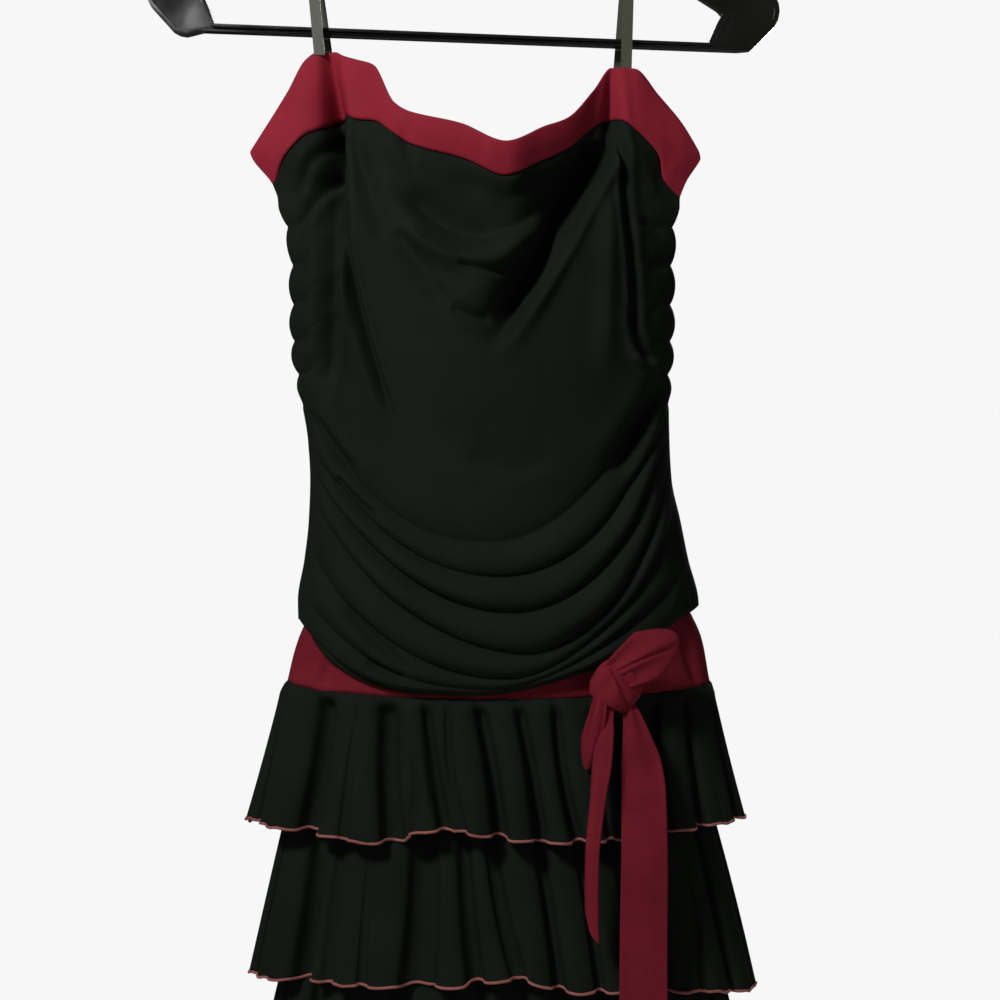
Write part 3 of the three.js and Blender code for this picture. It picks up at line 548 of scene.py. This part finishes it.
def plastic_material(name, colour, roughness, grain):
    """Injection-moulded polystyrene: a hard gloss with a faint flow ripple."""
    material, tree, shader = blank_material(name)
    place = add_node(tree, "ShaderNodeTexCoord")
    ripple = add_node(tree, "ShaderNodeTexNoise", {"Scale": grain, "Detail": 3.0},
                      Vector=place.outputs["Object"])
    tone = add_node(tree, "ShaderNodeMapRange", {
        "From Min": 0.3, "From Max": 0.7, "To Min": roughness * 0.8, "To Max": roughness * 1.25},
        Value=ripple.outputs["Fac"])
    bump = add_node(tree, "ShaderNodeBump", {"Strength": 0.08, "Distance": 0.2 * MM},
                    Height=ripple.outputs["Fac"])
    tree.links.new(tone.outputs["Result"], shader.inputs["Roughness"])
    tree.links.new(bump.outputs["Normal"], shader.inputs["Normal"])
    shader.inputs["Base Color"].default_value = [*colour, 1]
    shader.inputs["IOR"].default_value = 1.59
    return material


# Cloths by name: colour setting, which also names the darker colour painted as shade between its
# stitches, roughness, sheen, pitch and relief of the stitches in mm, scale of the mottling, and
# shine. The stitches are drawn two to four times as wide as in life, because the real ones are too
# fine to show in the render.
CLOTHS = {
    # Matte polyester jersey: near black with a green cast, no shine, fine knit.
    "Jersey, black": ("jersey", 0.85, 0.0, 1.4, 0.15, 18, 0.12),
    # The same jersey dyed wine red, for the hips and the sash. Its wine is drawn darker than the
    # neck band's, as painted shade for the weaker light low on the dress.
    "Jersey, wine": ("wine", 0.85, 0.0, 1.4, 0.18, 26, 0.12),
    # A closer, slightly glossier wine knit, folded double for the neck band.
    "Satin jersey, wine": ("band", 0.75, 0.0, 1.1, 0.12, 26, 0.12),
    # Textured nylon thread closely over-edged, pale wine with a soft shine.
    "Merrow thread": ("thread", 0.65, 0.05, 0.9, 0.4, 60, 0.3),
    # Olive grey satin tape with a lengthwise shine.
    "Satin strap": ("strap", 0.45, 0.0, 0.8, 0.08, 30, 0.5),
}


def material_named(name):
    """Each material is made once and shared by the pieces that are made of it."""
    if name in bpy.data.materials:
        return bpy.data.materials[name]
    palette = bpy.context.scene.dress_colours
    if name in CLOTHS:
        colour, *look = CLOTHS[name]
        # The second colour is painted shade for the knit's valleys.
        return cloth_material(name, getattr(palette, colour), getattr(palette, colour + "_valley"), *look)
    return plastic_material(name, palette.hanger, 0.25, 40)


def trough_height(row, s):
    """Height of a trough at position s: two arms that rise from its lowest point."""
    low, on_left = row["low"], s < row["low"]
    arm = np.where(on_left, (low - s) / (1 + low), (s - low) / (1 - low))
    side = np.where(on_left, row["left"], row["right"])
    power = np.where(on_left, row["pl"], row["pr"])
    return mix(row["mid"], side, np.clip(arm, 0, 1) ** power)


def fold_relief(folds, x, z):
    """Sum of the curved folds at points of the front view; each dies out at its ends."""
    total = np.zeros_like(x)
    steps = np.linspace(0, 1, 33)
    start, pull, end = (1 - steps) ** 2, 2 * steps * (1 - steps), steps ** 2
    for x0, z0, xm, zm, x1, z1, width_0, width_1, depth, lean in folds:
        px = start * x0 + pull * xm + end * x1
        pz = start * z0 + pull * zm + end * z1
        best, where, hand = np.full_like(x, 1e9), np.zeros_like(x), np.zeros_like(x)
        for k in range(len(steps) - 1):
            dx, dz = px[k + 1] - px[k], pz[k + 1] - pz[k]
            t = np.clip(((x - px[k]) * dx + (z - pz[k]) * dz) / (dx * dx + dz * dz), 0, 1)
            d = np.hypot(x - px[k] - t * dx, z - pz[k] - t * dz)
            near = d < best
            best = np.where(near, d, best)
            where = np.where(near, mix(steps[k], steps[k + 1], t), where)
            turned = (x - px[k]) * dz - (z - pz[k]) * dx
            hand = np.where(near, np.sign(turned), hand)
        width = mix(width_0, width_1, where) * (1 + lean * hand)
        taper = ease(where / 0.15 + 0.25) * ease((1 - where) / 0.3 + 0.05)
        shoulder = 0.25 * np.exp(-((best - 1.7 * width) / width) ** 2)
        total += depth * taper * (np.exp(-(best / width) ** 1.6) - shoulder)
    return total


def roll_relief(troughs, s, z):
    """Rounded rolls between the troughs, and a soft shoulder above the first."""
    lines = [trough_height(row, s) for row in troughs]
    above = np.maximum(z - lines[0], 0)
    total = np.where(z >= lines[0], troughs[0]["roll"] * (1 - np.exp(-above / 9)), 0.0)
    for row, upper, lower in zip(troughs, lines, lines[1:]):
        f = (upper - z) / np.maximum(upper - lower, 1e-6)
        inside = (f > 0) & (f <= 1)
        size = np.minimum(row["roll"], (upper - lower) * 0.38)
        size = size * (1 + 0.18 * np.sin(6 * s + row["mid"]))
        total = np.where(inside, size * np.sin(np.pi * np.clip(f, 0, 1) ** 1.35) ** 0.65, total)
    return total


def gather_phase(z):
    """Counts the pillows of the side seams; they aren't evenly spaced."""
    return z / GATHER_PITCH + 0.25 * np.sin(z / 37.0)


def gather_relief(x, z, s):
    """Drawn-up cloth of the side strips: set back behind the panel and puckered across."""
    left, right = column(SIDE_STEPS, "z", "left", z), column(SIDE_STEPS, "z", "right", z)
    strip = np.where(x < 0, ease((left - x) / 7), ease((x - right) / 7))
    span = ease((GATHER_TOP - z) / 26) * ease((z - GATHER_FOOT) / 34)
    edge = ease((np.abs(s) - 0.80) / 0.15)
    phase = gather_phase(z) + 0.5 * (1 - edge) * np.sign(x)
    pucker = np.abs(np.sin(np.pi * phase)) ** 0.6 - 0.6
    crinkle = np.sin(np.pi * (2 * phase + 0.45 * np.sin(x / 6.0))) * (1 - edge)
    near = np.where(x < 0, 1.0, 0.5)
    return strip * span * near * (-6.0 + 5.0 * pucker * (0.2 + 0.8 * edge) + 0.8 * crinkle)


def hollow_relief(hollows, x, z):
    """Sum of the broad soft hollows and swells."""
    total = np.zeros_like(x)
    for h in hollows:
        total += h["depth"] * np.exp(-((x - h["x"]) / h["rx"]) ** 2 - ((z - h["z"]) / h["rz"]) ** 2)
    return total


def bodice_point(side, neck, s, z, relief):
    """Points of the bodice: side is -1 for the front and 1 for the back."""
    section = section_at(BODICE_SECTIONS, z)
    depth = section["front" if side < 0 else "back"]
    hang = ease((column(neck, "s", "base", s) - z) / HANG)
    y = mix(column(neck, "s", "y", s), side * depth * arch(s), hang)
    drawn = ease((-z - 292) / 14) * ease((z - GATHER_FOOT) / 20)
    scallop = 1.9 * drawn * (np.abs(np.sin(np.pi * gather_phase(z))) ** 0.7 * 2 - 1.1)
    press = relief * (1 - np.abs(s) ** 10) * np.clip(arch(s) * 2.2, 0, 1)
    x = across(section, s) + press * s * SIDE_SHARE + np.sign(s) * scallop * np.abs(s) ** 10
    return np.stack([x, y + side * press, z], axis=-1)


def hip_point(side, s, z, margin):
    """Points a margin outside the hip band, where the bodice's hem turns under."""
    section = section_at(HIP_SECTIONS, z)
    depth = section["front" if side < 0 else "back"]
    x = across(section, s) + margin * np.sign(s) * np.abs(s) ** 3
    y = depth * arch(s) + margin * np.clip(arch(s) * 1.6, 0, 1)
    return np.stack([x, side * y, z], axis=-1)


def stations(count):
    """Positions across a panel, closer together towards its side seams."""
    t = np.linspace(-1, 1, count)
    return mix(t, np.sin(t * np.pi / 2), 0.5)


def bodice_panel(name, side, neck, troughs, folds, hollows, cols, upper_rows, lower_rows):
    """One panel: plain rows down to the first trough, rolls below it, and a hem turned under."""
    s = stations(cols) if side < 0 else -stations(cols)
    base = column(neck, "s", "base", s)
    first, hem = trough_height(troughs[0], s), trough_height(troughs[-1], s)
    rows = [mix(base + 4, first, f) for f in np.linspace(0, 1, upper_rows)]
    rows += [mix(first, hem, f) for f in np.linspace(0, 1, lower_rows)[1:]]
    z = np.array(rows)
    ss = np.broadcast_to(s, z.shape)
    x = across(section_at(BODICE_SECTIONS, z), ss)
    below = ease((base[None] - z) / 16)
    strips = gather_relief(x, z, ss) * ease((base[None] - z) / 34)
    relief = fold_relief(folds, x, z) + hollow_relief(hollows, x, z)
    swell = CLOTH_SWELL * np.tanh(relief / CLOTH_SWELL)
    relief = np.where(relief > 0, swell, relief) * below + strips
    if side < 0:
        under = np.clip((z - base) / (column(neck, "s", "top", s) - base), 0, 1)
        relief = relief + neck_pinch(ss, under) * (1 - ease((base[None] - z) / 45))
    relief = relief + roll_relief(troughs, ss, z) - troughs[0]["roll"] * (1 - below)
    relief -= 1.2 * ease((z - base[None] + 2) / 3)
    curl = ease((hem[None] + 7 - z) / 7)
    relief -= 4.0 * curl ** 2
    grid = bodice_point(side, neck, ss, z, relief)
    flat = 1 - np.abs(s) ** 8
    tuck = [hip_point(side, s, hem + rise, 0.4 + margin * flat)
            for rise, margin in ((-0.4, 3.0), (1.5, 1.8), (5, 1.2), (13, 1.0))]
    return grid_mesh(name, np.concatenate([grid, np.array(tuck)]))


def neck_pinch(s, f):
    """Creases of the front neckline, f from its seam (0) to its top (1): they open downwards."""
    total = 0 * s
    for at, turn, width, depth in NECK_FOLDS:
        off = (s - at - turn * f) / (width * (1.1 - 0.5 * f))
        total += depth * (1 - 0.85 * f) * np.exp(-off ** 2)
    return total


def neck_band(name, side, neck, cols):
    """A folded binding: up its outer face, over the top fold and down inside."""
    s = stations(cols) if side < 0 else -stations(cols)
    top, base = column(neck, "s", "top", s), column(neck, "s", "base", s)
    full = np.clip((1 - s * s) * 6, 0, 1)
    rows = []
    for f, wall in BAND_WALL:
        z = mix(base, top, f)
        p = bodice_point(side, neck, s, z, 0 * s)
        # The middle of the cowl nods forward.
        nod = 7.0 * f * np.exp(-np.abs((s - 0.10) / 0.42) ** 4)
        lean = 0.9 * (1 - f) + (nod if side < 0 else 0)
        pinch = neck_pinch(s, f) if side < 0 else 0
        p[:, 1] += side * (wall + lean + pinch) * full
        p[:, 0] += np.sign(s) * (wall * 0.8) * np.abs(s) ** 8 + pinch * s * SIDE_SHARE * full
        rows.append(p)
    return grid_mesh(name, np.array(rows[::-1]))


def ring_point(section, angle, out, z):
    """Points of a ring round the skirt, pushed out along the ring's own normal."""
    half = (section["right"] - section["left"]) / 2
    depth = np.where(np.cos(angle) > 0, section["front"], section["back"])
    y = -np.sign(np.cos(angle)) * depth * np.abs(np.cos(angle)) ** (2 * ROUNDNESS)
    nx, ny = depth * np.sin(angle), -half * np.cos(angle)
    size = np.hypot(nx, ny)
    x = across(section, np.sin(angle))
    return np.stack([x + out * nx / size, y + out * ny / size, z + 0 * angle], axis=-1)


def tier_grid(tier, cols, rows):
    """Flounce: lobes of cloth with steep folds sunk between them, opening towards the hem."""
    turn = np.arange(cols) / cols * 360 - 92
    way = np.radians(turn)
    hems = tier["hems"] + [(tier["hems"][0][0] + 360, tier["hems"][0][1])]
    low = smooth(*zip(*hems), np.where(turn < hems[0][0], turn + 360, turn))
    upper, lower, grid = tier["upper"], tier["lower"], []
    for f in np.linspace(0, 1, rows):
        section = {key: mix(upper[key], lower[key], f) for key in upper}
        puff = mix(upper["puff"] * ease(f / 0.1), lower["puff"], f ** 1.2)
        out = puff * (0.7 + 0.3 * np.abs(np.cos(way))) - 1.6 * math.exp(-(f / 0.012) ** 2)
        shift = np.zeros(cols)
        for n, (top, hem, width, sunk_top, sunk_hem) in enumerate(tier["folds"]):
            centre = mix(top, hem, f) + 1.1 * math.sin(math.pi * f) * math.sin(n * 1.9)
            off = (turn - centre + 180) % 360 - 180
            d = off / (width * (0.8 + 0.35 * f))
            sunk = mix(sunk_top, sunk_hem, f ** 1.3) * ease(f / 0.14)
            out -= sunk * (0.7 * np.exp(-np.abs(d) ** 2.6) + 0.3 * np.exp(-np.abs(d / 2.1) ** 1.6))
            shift -= 0.42 * width * f ** 0.5 * np.sign(d) * np.exp(-((np.abs(d) - 1.15) / 0.4) ** 2)
        # Broad waves, the hem's fine frill and the puckers under the seam.
        wave = 0.9 * f ** 2 * np.sin(way * 23 + 2 * np.sin(way * 5))
        frill = 0.25 * f ** 6 * np.sin(way * 97 + 3 * np.sin(way * 11))
        gather = 0.45 * math.exp(-(f / 0.12) ** 2) * np.sin(way * 61 + 2 * np.sin(way * 7))
        angle = np.radians(turn + shift)
        top = tier["top"] + tier["seat"] * (0.4 - np.clip(np.cos(angle), 0, 1))
        z = mix(top, tier["hem"] - low * f, f) + 0.5 * f ** 4 * np.sin(way * 53 + 1.7)
        grid.append(ring_point(section, angle, out + wave + frill + gather, z))
    return np.array(grid)


def ribbon_grid(path, rows, cols, crown, pleat, doubled):
    """A soft strip down a path; crown bows it across, doubled folds it along its length."""
    t = np.linspace(0, 1, len(path))
    u = np.linspace(0, 1, rows)
    columns = zip(*(point.values() for point in path))
    x, y, z, w, turn = (smooth(t, values, u) for values in columns)
    a = np.radians(turn)
    side = np.stack([np.cos(a), -np.sin(a), 0 * a], axis=-1)
    out = np.stack([-np.sin(a), -np.cos(a), 0 * a], axis=-1)
    k = np.linspace(-0.5, 0.5, cols)
    centre = np.stack([x, y, z], axis=-1)
    bow = crown * (0.25 - k ** 2) * 4
    down = u[:, None]
    crease = pleat * np.cos(2 * np.pi * 1.5 * k + 0.6 * np.sin(down * 7)) * np.exp(-3 * down)
    crease = crease + 0.5 * np.sin(down * 11 + 1) * np.sin(np.pi * (k + 0.5))
    across, lift = k, bow
    if doubled:
        across = np.abs(2 * k) - 0.5
        round_fold = 1.6 * np.sin(np.pi * np.minimum(np.abs(k) * 2.2, 1))
        lift = np.sign(k) * (0.4 + round_fold + 1.4 * np.abs(k))
    return (centre[:, None] + side[:, None] * (w[:, None] * across[None])[..., None]
            + out[:, None] * (lift[None] + crease)[..., None])


def bow_loop(reach, width, neck, thick, cols, rows, pleats):
    """A stuffed bow loop along +u: front face, round the fold and back, in a local frame."""
    turn = np.linspace(0, np.pi, rows)
    k = np.linspace(-0.5, 0.5, cols)
    along = np.sin(turn) ** 0.75 * reach
    w = mix(neck, width, np.sin(turn) ** 0.65)
    depth = -np.cos(turn) * thick * (0.3 + 0.7 * np.sin(turn) ** 0.5)
    rise = np.sin(turn)[:, None]
    fade = 1 - rise ** 4
    crease = pleats * np.cos(2 * np.pi * 1.6 * k - 0.4) * (0.3 + 0.7 * fade)
    nip = -pleats * 1.3 * np.exp(-((k - 0.12 + 0.30 * rise) / 0.055) ** 2) * fade
    dome = 2.4 * np.cos(np.pi * k) * rise ** 0.5
    sign = np.where(turn < np.pi / 2, -1.0, 1.0)[:, None]
    u = along[:, None] * (1 - 0.40 * np.abs(2 * k) ** 2.1)[None]
    v = w[:, None] * k[None]
    n = depth[:, None] + sign * (dome + crease + nip)
    return u, v, n


class DressSizes(bpy.types.PropertyGroup):
    """How finely the cloth is drawn, and the thickness of its edges"""
    band_columns: IntProperty(name="Band columns", description="Points across the neck band",
                              default=240, min=40)
    panel_columns: IntProperty(name="Panel columns", description="Points across the bodice front",
                               default=300, min=60)
    tier_columns: IntProperty(name="Tier columns", description="Points round one flounce",
                              default=1080, min=240)
    merrow_radius: FloatProperty(name="Merrow edge", description="Radius of the over-edged hem",
                                 default=0.001, min=0.0003, max=0.003, unit="LENGTH")
    sash_wall: FloatProperty(name="Sash thickness", description="Thickness of the doubled sash",
                             default=0.0016, min=0.0005, max=0.004, unit="LENGTH")


def colour_setting(name, value, description):
    """A colour property that starts at an sRGB hex value."""
    return FloatVectorProperty(name=name, description=description, subtype="COLOR", size=3,
                               min=0, max=1, default=srgb(value)[:3])


class DressColours(bpy.types.PropertyGroup):
    """Colour of each material, and the darker colour painted as shade between its stitches"""
    jersey: colour_setting("Jersey", "#1d241d", "Bodice and flounces")
    # Each valleys colour is a darker colour painted as shade between the stitches.
    jersey_valley: colour_setting("Jersey, valleys", "#131813", "Between the stitches of the bodice")
    # Wine is drawn darker than the neck band's colour: painted shade for the weaker light low on
    # the dress.
    wine: colour_setting("Wine", "#8a2431", "Hip band and sash")
    wine_valley: colour_setting("Wine, valleys", "#6c1a26", "Between the stitches of the sash")
    band: colour_setting("Neck band", "#a62b3d", "Satin band round the neck")
    band_valley: colour_setting("Neck band, valleys", "#8e2232", "Between the stitches of the neck band")
    thread: colour_setting("Thread", "#c07c74", "Merrowed edges of the flounces")
    thread_valley: colour_setting("Thread, valleys", "#8a4542", "Between the turns of the thread")
    strap: colour_setting("Strap", "#595b4d", "Satin tape of the straps")
    strap_valley: colour_setting("Strap, valleys", "#46483a", "Between the threads of the tape")
    hanger: colour_setting("Hanger", "#0f120c", "Plastic of the hanger")


class StageLook(bpy.types.PropertyGroup):
    """Surroundings and camera"""
    backdrop: FloatVectorProperty(name="Backdrop", description="Colour of the surroundings",
                                  subtype="COLOR", size=3, default=(0.93, 0.93, 0.93), min=0, max=1)
    ambient: FloatProperty(name="Ambient", description="Light of the surroundings on the dress",
                           default=0.07, min=0)
    lens: FloatProperty(name="Lens", description="Focal length in mm", default=60.0, unit="CAMERA")
    distance: FloatProperty(name="Distance", description="From the camera to the hanger's plane",
                            default=1.15, unit="LENGTH")


class DRESS_OT_bodice(bpy.types.Operator):
    """Draped front and back panels of the bodice"""
    bl_idname = "dress.bodice"
    bl_label = "Bodice"

    def execute(self, context):
        sizes = context.scene.dress_sizes
        jersey = material_named("Jersey, black")
        front = bodice_panel("bodice_front_drape", -1, NECK_FRONT, FRONT_TROUGHS, FRONT_FOLDS,
                             FRONT_HOLLOWS, sizes.panel_columns, 150, 140)
        settle(front, jersey, ["bodice_front"])
        back = bodice_panel("bodice_back_drape", 1, NECK_BACK, BACK_TROUGHS, BACK_FOLDS,
                            BACK_HOLLOWS, 180, 90, 80)
        settle(back, jersey, ["bodice_back"])
        return {"FINISHED"}


class DRESS_OT_neck_band(bpy.types.Operator):
    """Folded wine jersey band round the top edge"""
    bl_idname = "dress.neck_band"
    bl_label = "Neck band"

    def execute(self, context):
        sizes = context.scene.dress_sizes
        wine = material_named("Satin jersey, wine")
        for name, side, neck, node in (("band_front", -1, NECK_FRONT, "neck_band_front"),
                                       ("band_back", 1, NECK_BACK, "neck_band_back")):
            band = neck_band(name, side, neck, sizes.band_columns)
            settle(band, wine, [node])
        return {"FINISHED"}


class DRESS_OT_straps(bpy.types.Operator):
    """Satin straps over the hanger's arms"""
    bl_idname = "dress.straps"
    bl_label = "Straps"

    def execute(self, context):
        satin = material_named("Satin strap")
        for node in ("strap_left", "strap_right"):
            source = bpy.data.objects[node]
            piece = add_object(node + "_satin", source.data.copy())
            piece.data.materials.clear()
            edge = piece.modifiers.new("Rolled edge", "BEVEL")
            edge.width = 0.35 * MM
            edge.segments = 2
            settle(piece, satin, [node])
        return {"FINISHED"}


class DRESS_OT_skirt(bpy.types.Operator):
    """Hip band, gathered tiers with merrow-edged hems, and the underskirt"""
    bl_idname = "dress.skirt"
    bl_label = "Skirt"

    def execute(self, context):
        sizes = context.scene.dress_sizes
        jersey, wine = material_named("Jersey, black"), material_named("Jersey, wine")
        thread = material_named("Merrow thread")
        angle = np.radians(np.arange(240) * 1.5 - 90)
        hip = []
        top, foot = HIP_SECTIONS[0]["z"], HIP_SECTIONS[-1]["z"]
        for z in np.linspace(top, foot, 20):
            f = (top - z) / (top - foot)
            swell = math.sin(math.pi * f)
            roll = 0.5 * swell + 0.35 * np.sin(angle * 9 + f * 3) * swell
            for at, drift, width, depth in HIP_FOLDS:
                off = (np.degrees(angle) - at - drift * f) / width
                roll = roll - depth * np.exp(-off ** 2) * swell ** 0.5
            drop = 7 * f ** 2 * (0.3 - np.clip(np.cos(angle), 0, 1))
            hip.append(ring_point(section_at(HIP_SECTIONS, z), angle, roll, z + drop))
        band = grid_mesh("hip_band_jersey", np.array(hip), wrap=True)
        settle(solidify(band, HIP_WALL), wine, ["hip_band"])
        for number, tier in enumerate(TIERS, 1):
            grid = tier_grid(tier, sizes.tier_columns, 36)
            flounce = grid_mesh(f"flounce_{number}", grid, wrap=True)
            settle(flounce, jersey, [tier["node"]])
            edge = hem_roll(f"merrow_{number}", grid[-1], sizes.merrow_radius / MM)
            settle(edge, thread)
        heights = np.linspace(UNDERSKIRT_SECTIONS[0]["z"], UNDERSKIRT_SECTIONS[-1]["z"], 30)
        rows = [ring_point(section_at(UNDERSKIRT_SECTIONS, z), angle, 0.0, z) for z in heights]
        under = grid_mesh("underskirt_jersey", np.array(rows), wrap=True)
        settle(under, jersey, ["underskirt"])
        return {"FINISHED"}


class DRESS_OT_sash(bpy.types.Operator):
    """The tied sash: knot, two loops and two tails"""
    bl_idname = "dress.sash"
    bl_label = "Sash"

    def place(self, name, node, origin, direction, local, wine):
        """Puts a loop's local shape at the knot, pointing along a direction of the front view."""
        u, v, n = local
        dx, dz = direction
        norm = math.hypot(dx, dz)
        dx, dz = dx / norm, dz / norm
        grid = np.stack([origin[0] + u * dx - v * dz, origin[1] + SASH_SEAT + n,
                         origin[2] + u * dz + v * dx], axis=-1)
        piece = grid_mesh(name, grid)
        settle(solidify(piece, LOOP_WALL), wine, [node])
        return piece

    def execute(self, context):
        sizes = context.scene.dress_sizes
        wine = material_named("Jersey, wine")
        seat = np.array([0, SASH_SEAT, 0])
        fall = ease((np.linspace(0, 1, TAIL_ROWS) - 0.6) / 0.4)[:, None]
        for name, node, path, crown, pleat, doubled, slant, flat in TAILS:
            grid = ribbon_grid(path, TAIL_ROWS, TAIL_COLUMNS, crown, pleat, doubled) + seat
            grid[..., 2] += slant * np.linspace(-0.5, 0.5, TAIL_COLUMNS) * fall
            tail = grid_mesh(name, grid)
            settle(solidify(tail, sizes.sash_wall / MM), wine, [node])
        upper = self.place("sash_upper_loop", "sash_loop_upper", (88.5, -69.5, -624.5),
                           (0.84, 0.54), bow_loop(56, 34, 14, 6.5, 41, 61, 1.5), wine)
        lower = self.place("sash_lower_loop", "sash_loop_lower", (86, -73, -632),
                           (-0.2, -0.98), bow_loop(50, 15, 7, 4.5, 15, 41, 0.5), wine)
        self.knot(wine)
        return {"FINISHED"}

    def knot(self, wine):
        """The knot's wrap: fanned pleats drawn to its top, and a second turn beside them."""
        tilt = math.radians(KNOT["tilt"])
        turn = np.linspace(0, 2 * np.pi, 145)[:-1]
        rows = []
        for f in np.linspace(0.5, -0.5, 61):
            bulge = 0.72 + 0.36 * max(math.cos(math.pi * f), 0) ** 0.55
            xl, zl = KNOT["reach"] * np.sin(turn) * bulge, KNOT["height"] * f
            front = ease(np.cos(turn) * 2)
            # Distance from the slanting line where the second turn is tucked in.
            beside = (xl + 4.4) * 0.594 + (zl - 5.6) * 0.806
            fan = np.arctan2(xl + 1, 20 - zl)
            fanned = 0.75 * np.sin(fan * 9 + 0.6) * ease(-beside / 4)
            tucked = -2.6 * np.exp(-(beside / 1.3) ** 2) - 1.8 * ease(beside / 3)
            second = 0.9 * ease(beside / 4) * np.sin(zl * 0.55 + xl * 0.25)
            hidden = 0.6 * np.sin(2 * np.pi * 2.5 * (f + 0.16 * np.sin(turn + 0.6)))
            pleat = front * (fanned + tucked + second) + (1 - front) * hidden
            y = -(KNOT["depth"] * bulge + pleat) * np.cos(turn)
            x, z = xl + 0.3 * pleat * np.sin(turn), zl + 3.0 * np.sin(turn) * (0.5 - abs(f))
            rows.append(np.stack([KNOT["x"] + x * math.cos(tilt) + z * math.sin(tilt),
                                  KNOT["y"] + SASH_SEAT + y,
                                  KNOT["z"] - x * math.sin(tilt) + z * math.cos(tilt)], axis=-1))
        knot = grid_mesh("sash_knot_wrap", np.array(rows), wrap=True)
        settle(solidify(knot, KNOT_WALL), wine, ["sash_knot"])


class DRESS_OT_hanger(bpy.types.Operator):
    """Moulded hanger with softened edges"""
    bl_idname = "dress.hanger"
    bl_label = "Hanger"

    def execute(self, context):
        source = bpy.data.objects["hanger"]
        mesh = source.data.copy()
        mesh.materials.clear()
        body = bmesh.new()
        body.from_mesh(mesh)
        # The lower bar is slimmer than its solid and sits a little higher, as the photo shows it.
        for vert in body.verts:
            x, z = vert.co.x / MM, vert.co.z / MM
            line = BAR["z"] + BAR["slope"] * x
            if abs(z - line) < BAR["half_height"] and abs(x) < BAR["half_length"]:
                lift = mix(*BAR["lift"], (x + 160) / 310)
                vert.co.z = (line + (z - line) * BAR["slim"] + lift) * MM
        bmesh.ops.remove_doubles(body, verts=body.verts, dist=0.00001)
        bmesh.ops.dissolve_limit(body, angle_limit=math.radians(2), verts=body.verts,
                                 edges=body.edges)
        sharp = [edge for edge in body.edges
                 if len(edge.link_faces) == 2 and edge.calc_face_angle() > math.radians(40)]
        bmesh.ops.bevel(body, geom=sharp, offset=0.7 * MM, segments=2, profile=0.7, affect="EDGES",
                        clamp_overlap=True)
        body.to_mesh(mesh)
        body.free()
        piece = add_object("hanger_moulding", mesh)
        for polygon in mesh.polygons:
            polygon.use_smooth = True
        mesh.set_sharp_from_angle(angle=math.radians(35))
        settle(piece, material_named("Polystyrene, black"), ["hanger"])
        return {"FINISHED"}


class DRESS_OT_stage(bpy.types.Operator):
    """Pale floor and surroundings, three lamps and the camera"""
    bl_idname = "dress.stage"
    bl_label = "Stage"

    def execute(self, context):
        look = context.scene.dress_stage
        scene = context.scene
        world = bpy.data.worlds.new("Pale room")
        scene.world = world
        world.use_nodes = True
        # The room is seen pale, and lights the cloth less than it looks.
        tree = world.node_tree
        seen = tree.nodes["Background"]
        seen.inputs["Color"].default_value = [*look.backdrop, 1]
        dim = add_node(tree, "ShaderNodeBackground",
                       {"Color": [*look.backdrop, 1], "Strength": look.ambient})
        path = add_node(tree, "ShaderNodeLightPath")
        pick = add_node(tree, "ShaderNodeMixShader", Fac=path.outputs["Is Camera Ray"])
        tree.links.new(dim.outputs["Background"], pick.inputs[1])
        tree.links.new(seen.outputs["Background"], pick.inputs[2])
        tree.links.new(pick.outputs["Shader"], tree.nodes["World Output"].inputs["Surface"])
        turn = np.linspace(0, 2 * np.pi, 65)[:-1]
        rim = [(FLOOR_RADIUS * math.cos(a), FLOOR_RADIUS * math.sin(a), FLOOR_Z) for a in turn]
        mesh = bpy.data.meshes.new("floor")
        mesh.from_pydata(rim, [], [list(range(len(rim)))])
        floor = add_object("floor", mesh)
        plaster, _, shader = blank_material("Matte pale floor")
        shader.inputs["Base Color"].default_value = srgb("#f1f1ef")
        shader.inputs["Roughness"].default_value = 0.9
        mesh.materials.append(plaster)
        for name, place, size, power in LAMPS:
            light = bpy.data.lights.new(name, "AREA")
            light.energy = power
            light.size = size
            lamp = add_object(name, light)
            lamp.location = place
            aim = Vector(LAMP_AIM) - Vector(place)
            lamp.rotation_euler = aim.to_track_quat("-Z", "Y").to_euler()
        camera = bpy.data.cameras.new("camera")
        camera.lens = look.lens
        camera.sensor_width = 36
        eye = add_object("camera", camera)
        eye.location = (EYE_X, -look.distance, EYE_Z)
        eye.rotation_euler = (math.pi / 2, 0, 0)
        scene.camera = eye
        scene.view_settings.view_transform = "Standard"
        return {"FINISHED"}


class DRESS_PT_panel(bpy.types.Panel):
    """Lists the pieces of the dress"""
    bl_idname = "DRESS_PT_panel"
    bl_label = "Tiered dress"
    bl_space_type = "VIEW_3D"
    bl_region_type = "UI"
    bl_category = "Dress"

    def draw(self, context):
        scene = context.scene
        for group in (scene.dress_sizes, scene.dress_colours, scene.dress_stage):
            for name in group.__annotations__:
                self.layout.prop(group, name)
        for operator in OPERATORS:
            self.layout.operator(operator.bl_idname)


OPERATORS = (DRESS_OT_bodice, DRESS_OT_neck_band, DRESS_OT_straps, DRESS_OT_skirt, DRESS_OT_sash,
             DRESS_OT_hanger, DRESS_OT_stage)
CLASSES = (DressSizes, DressColours, StageLook, *OPERATORS, DRESS_PT_panel)


def register():
    for cls in CLASSES:
        bpy.utils.register_class(cls)
    bpy.types.Scene.dress_sizes = PointerProperty(type=DressSizes)
    bpy.types.Scene.dress_colours = PointerProperty(type=DressColours)
    bpy.types.Scene.dress_stage = PointerProperty(type=StageLook)


def unregister():
    del bpy.types.Scene.dress_sizes
    del bpy.types.Scene.dress_colours
    del bpy.types.Scene.dress_stage
    for cls in reversed(CLASSES):
        bpy.utils.unregister_class(cls)


def main():
    register()
    bpy.ops.dress.bodice()
    bpy.ops.dress.neck_band()
    bpy.ops.dress.straps()
    bpy.ops.dress.skirt()
    bpy.ops.dress.sash()
    bpy.ops.dress.hanger()
    bpy.ops.dress.stage()


if __name__ == "__main__":
    main()
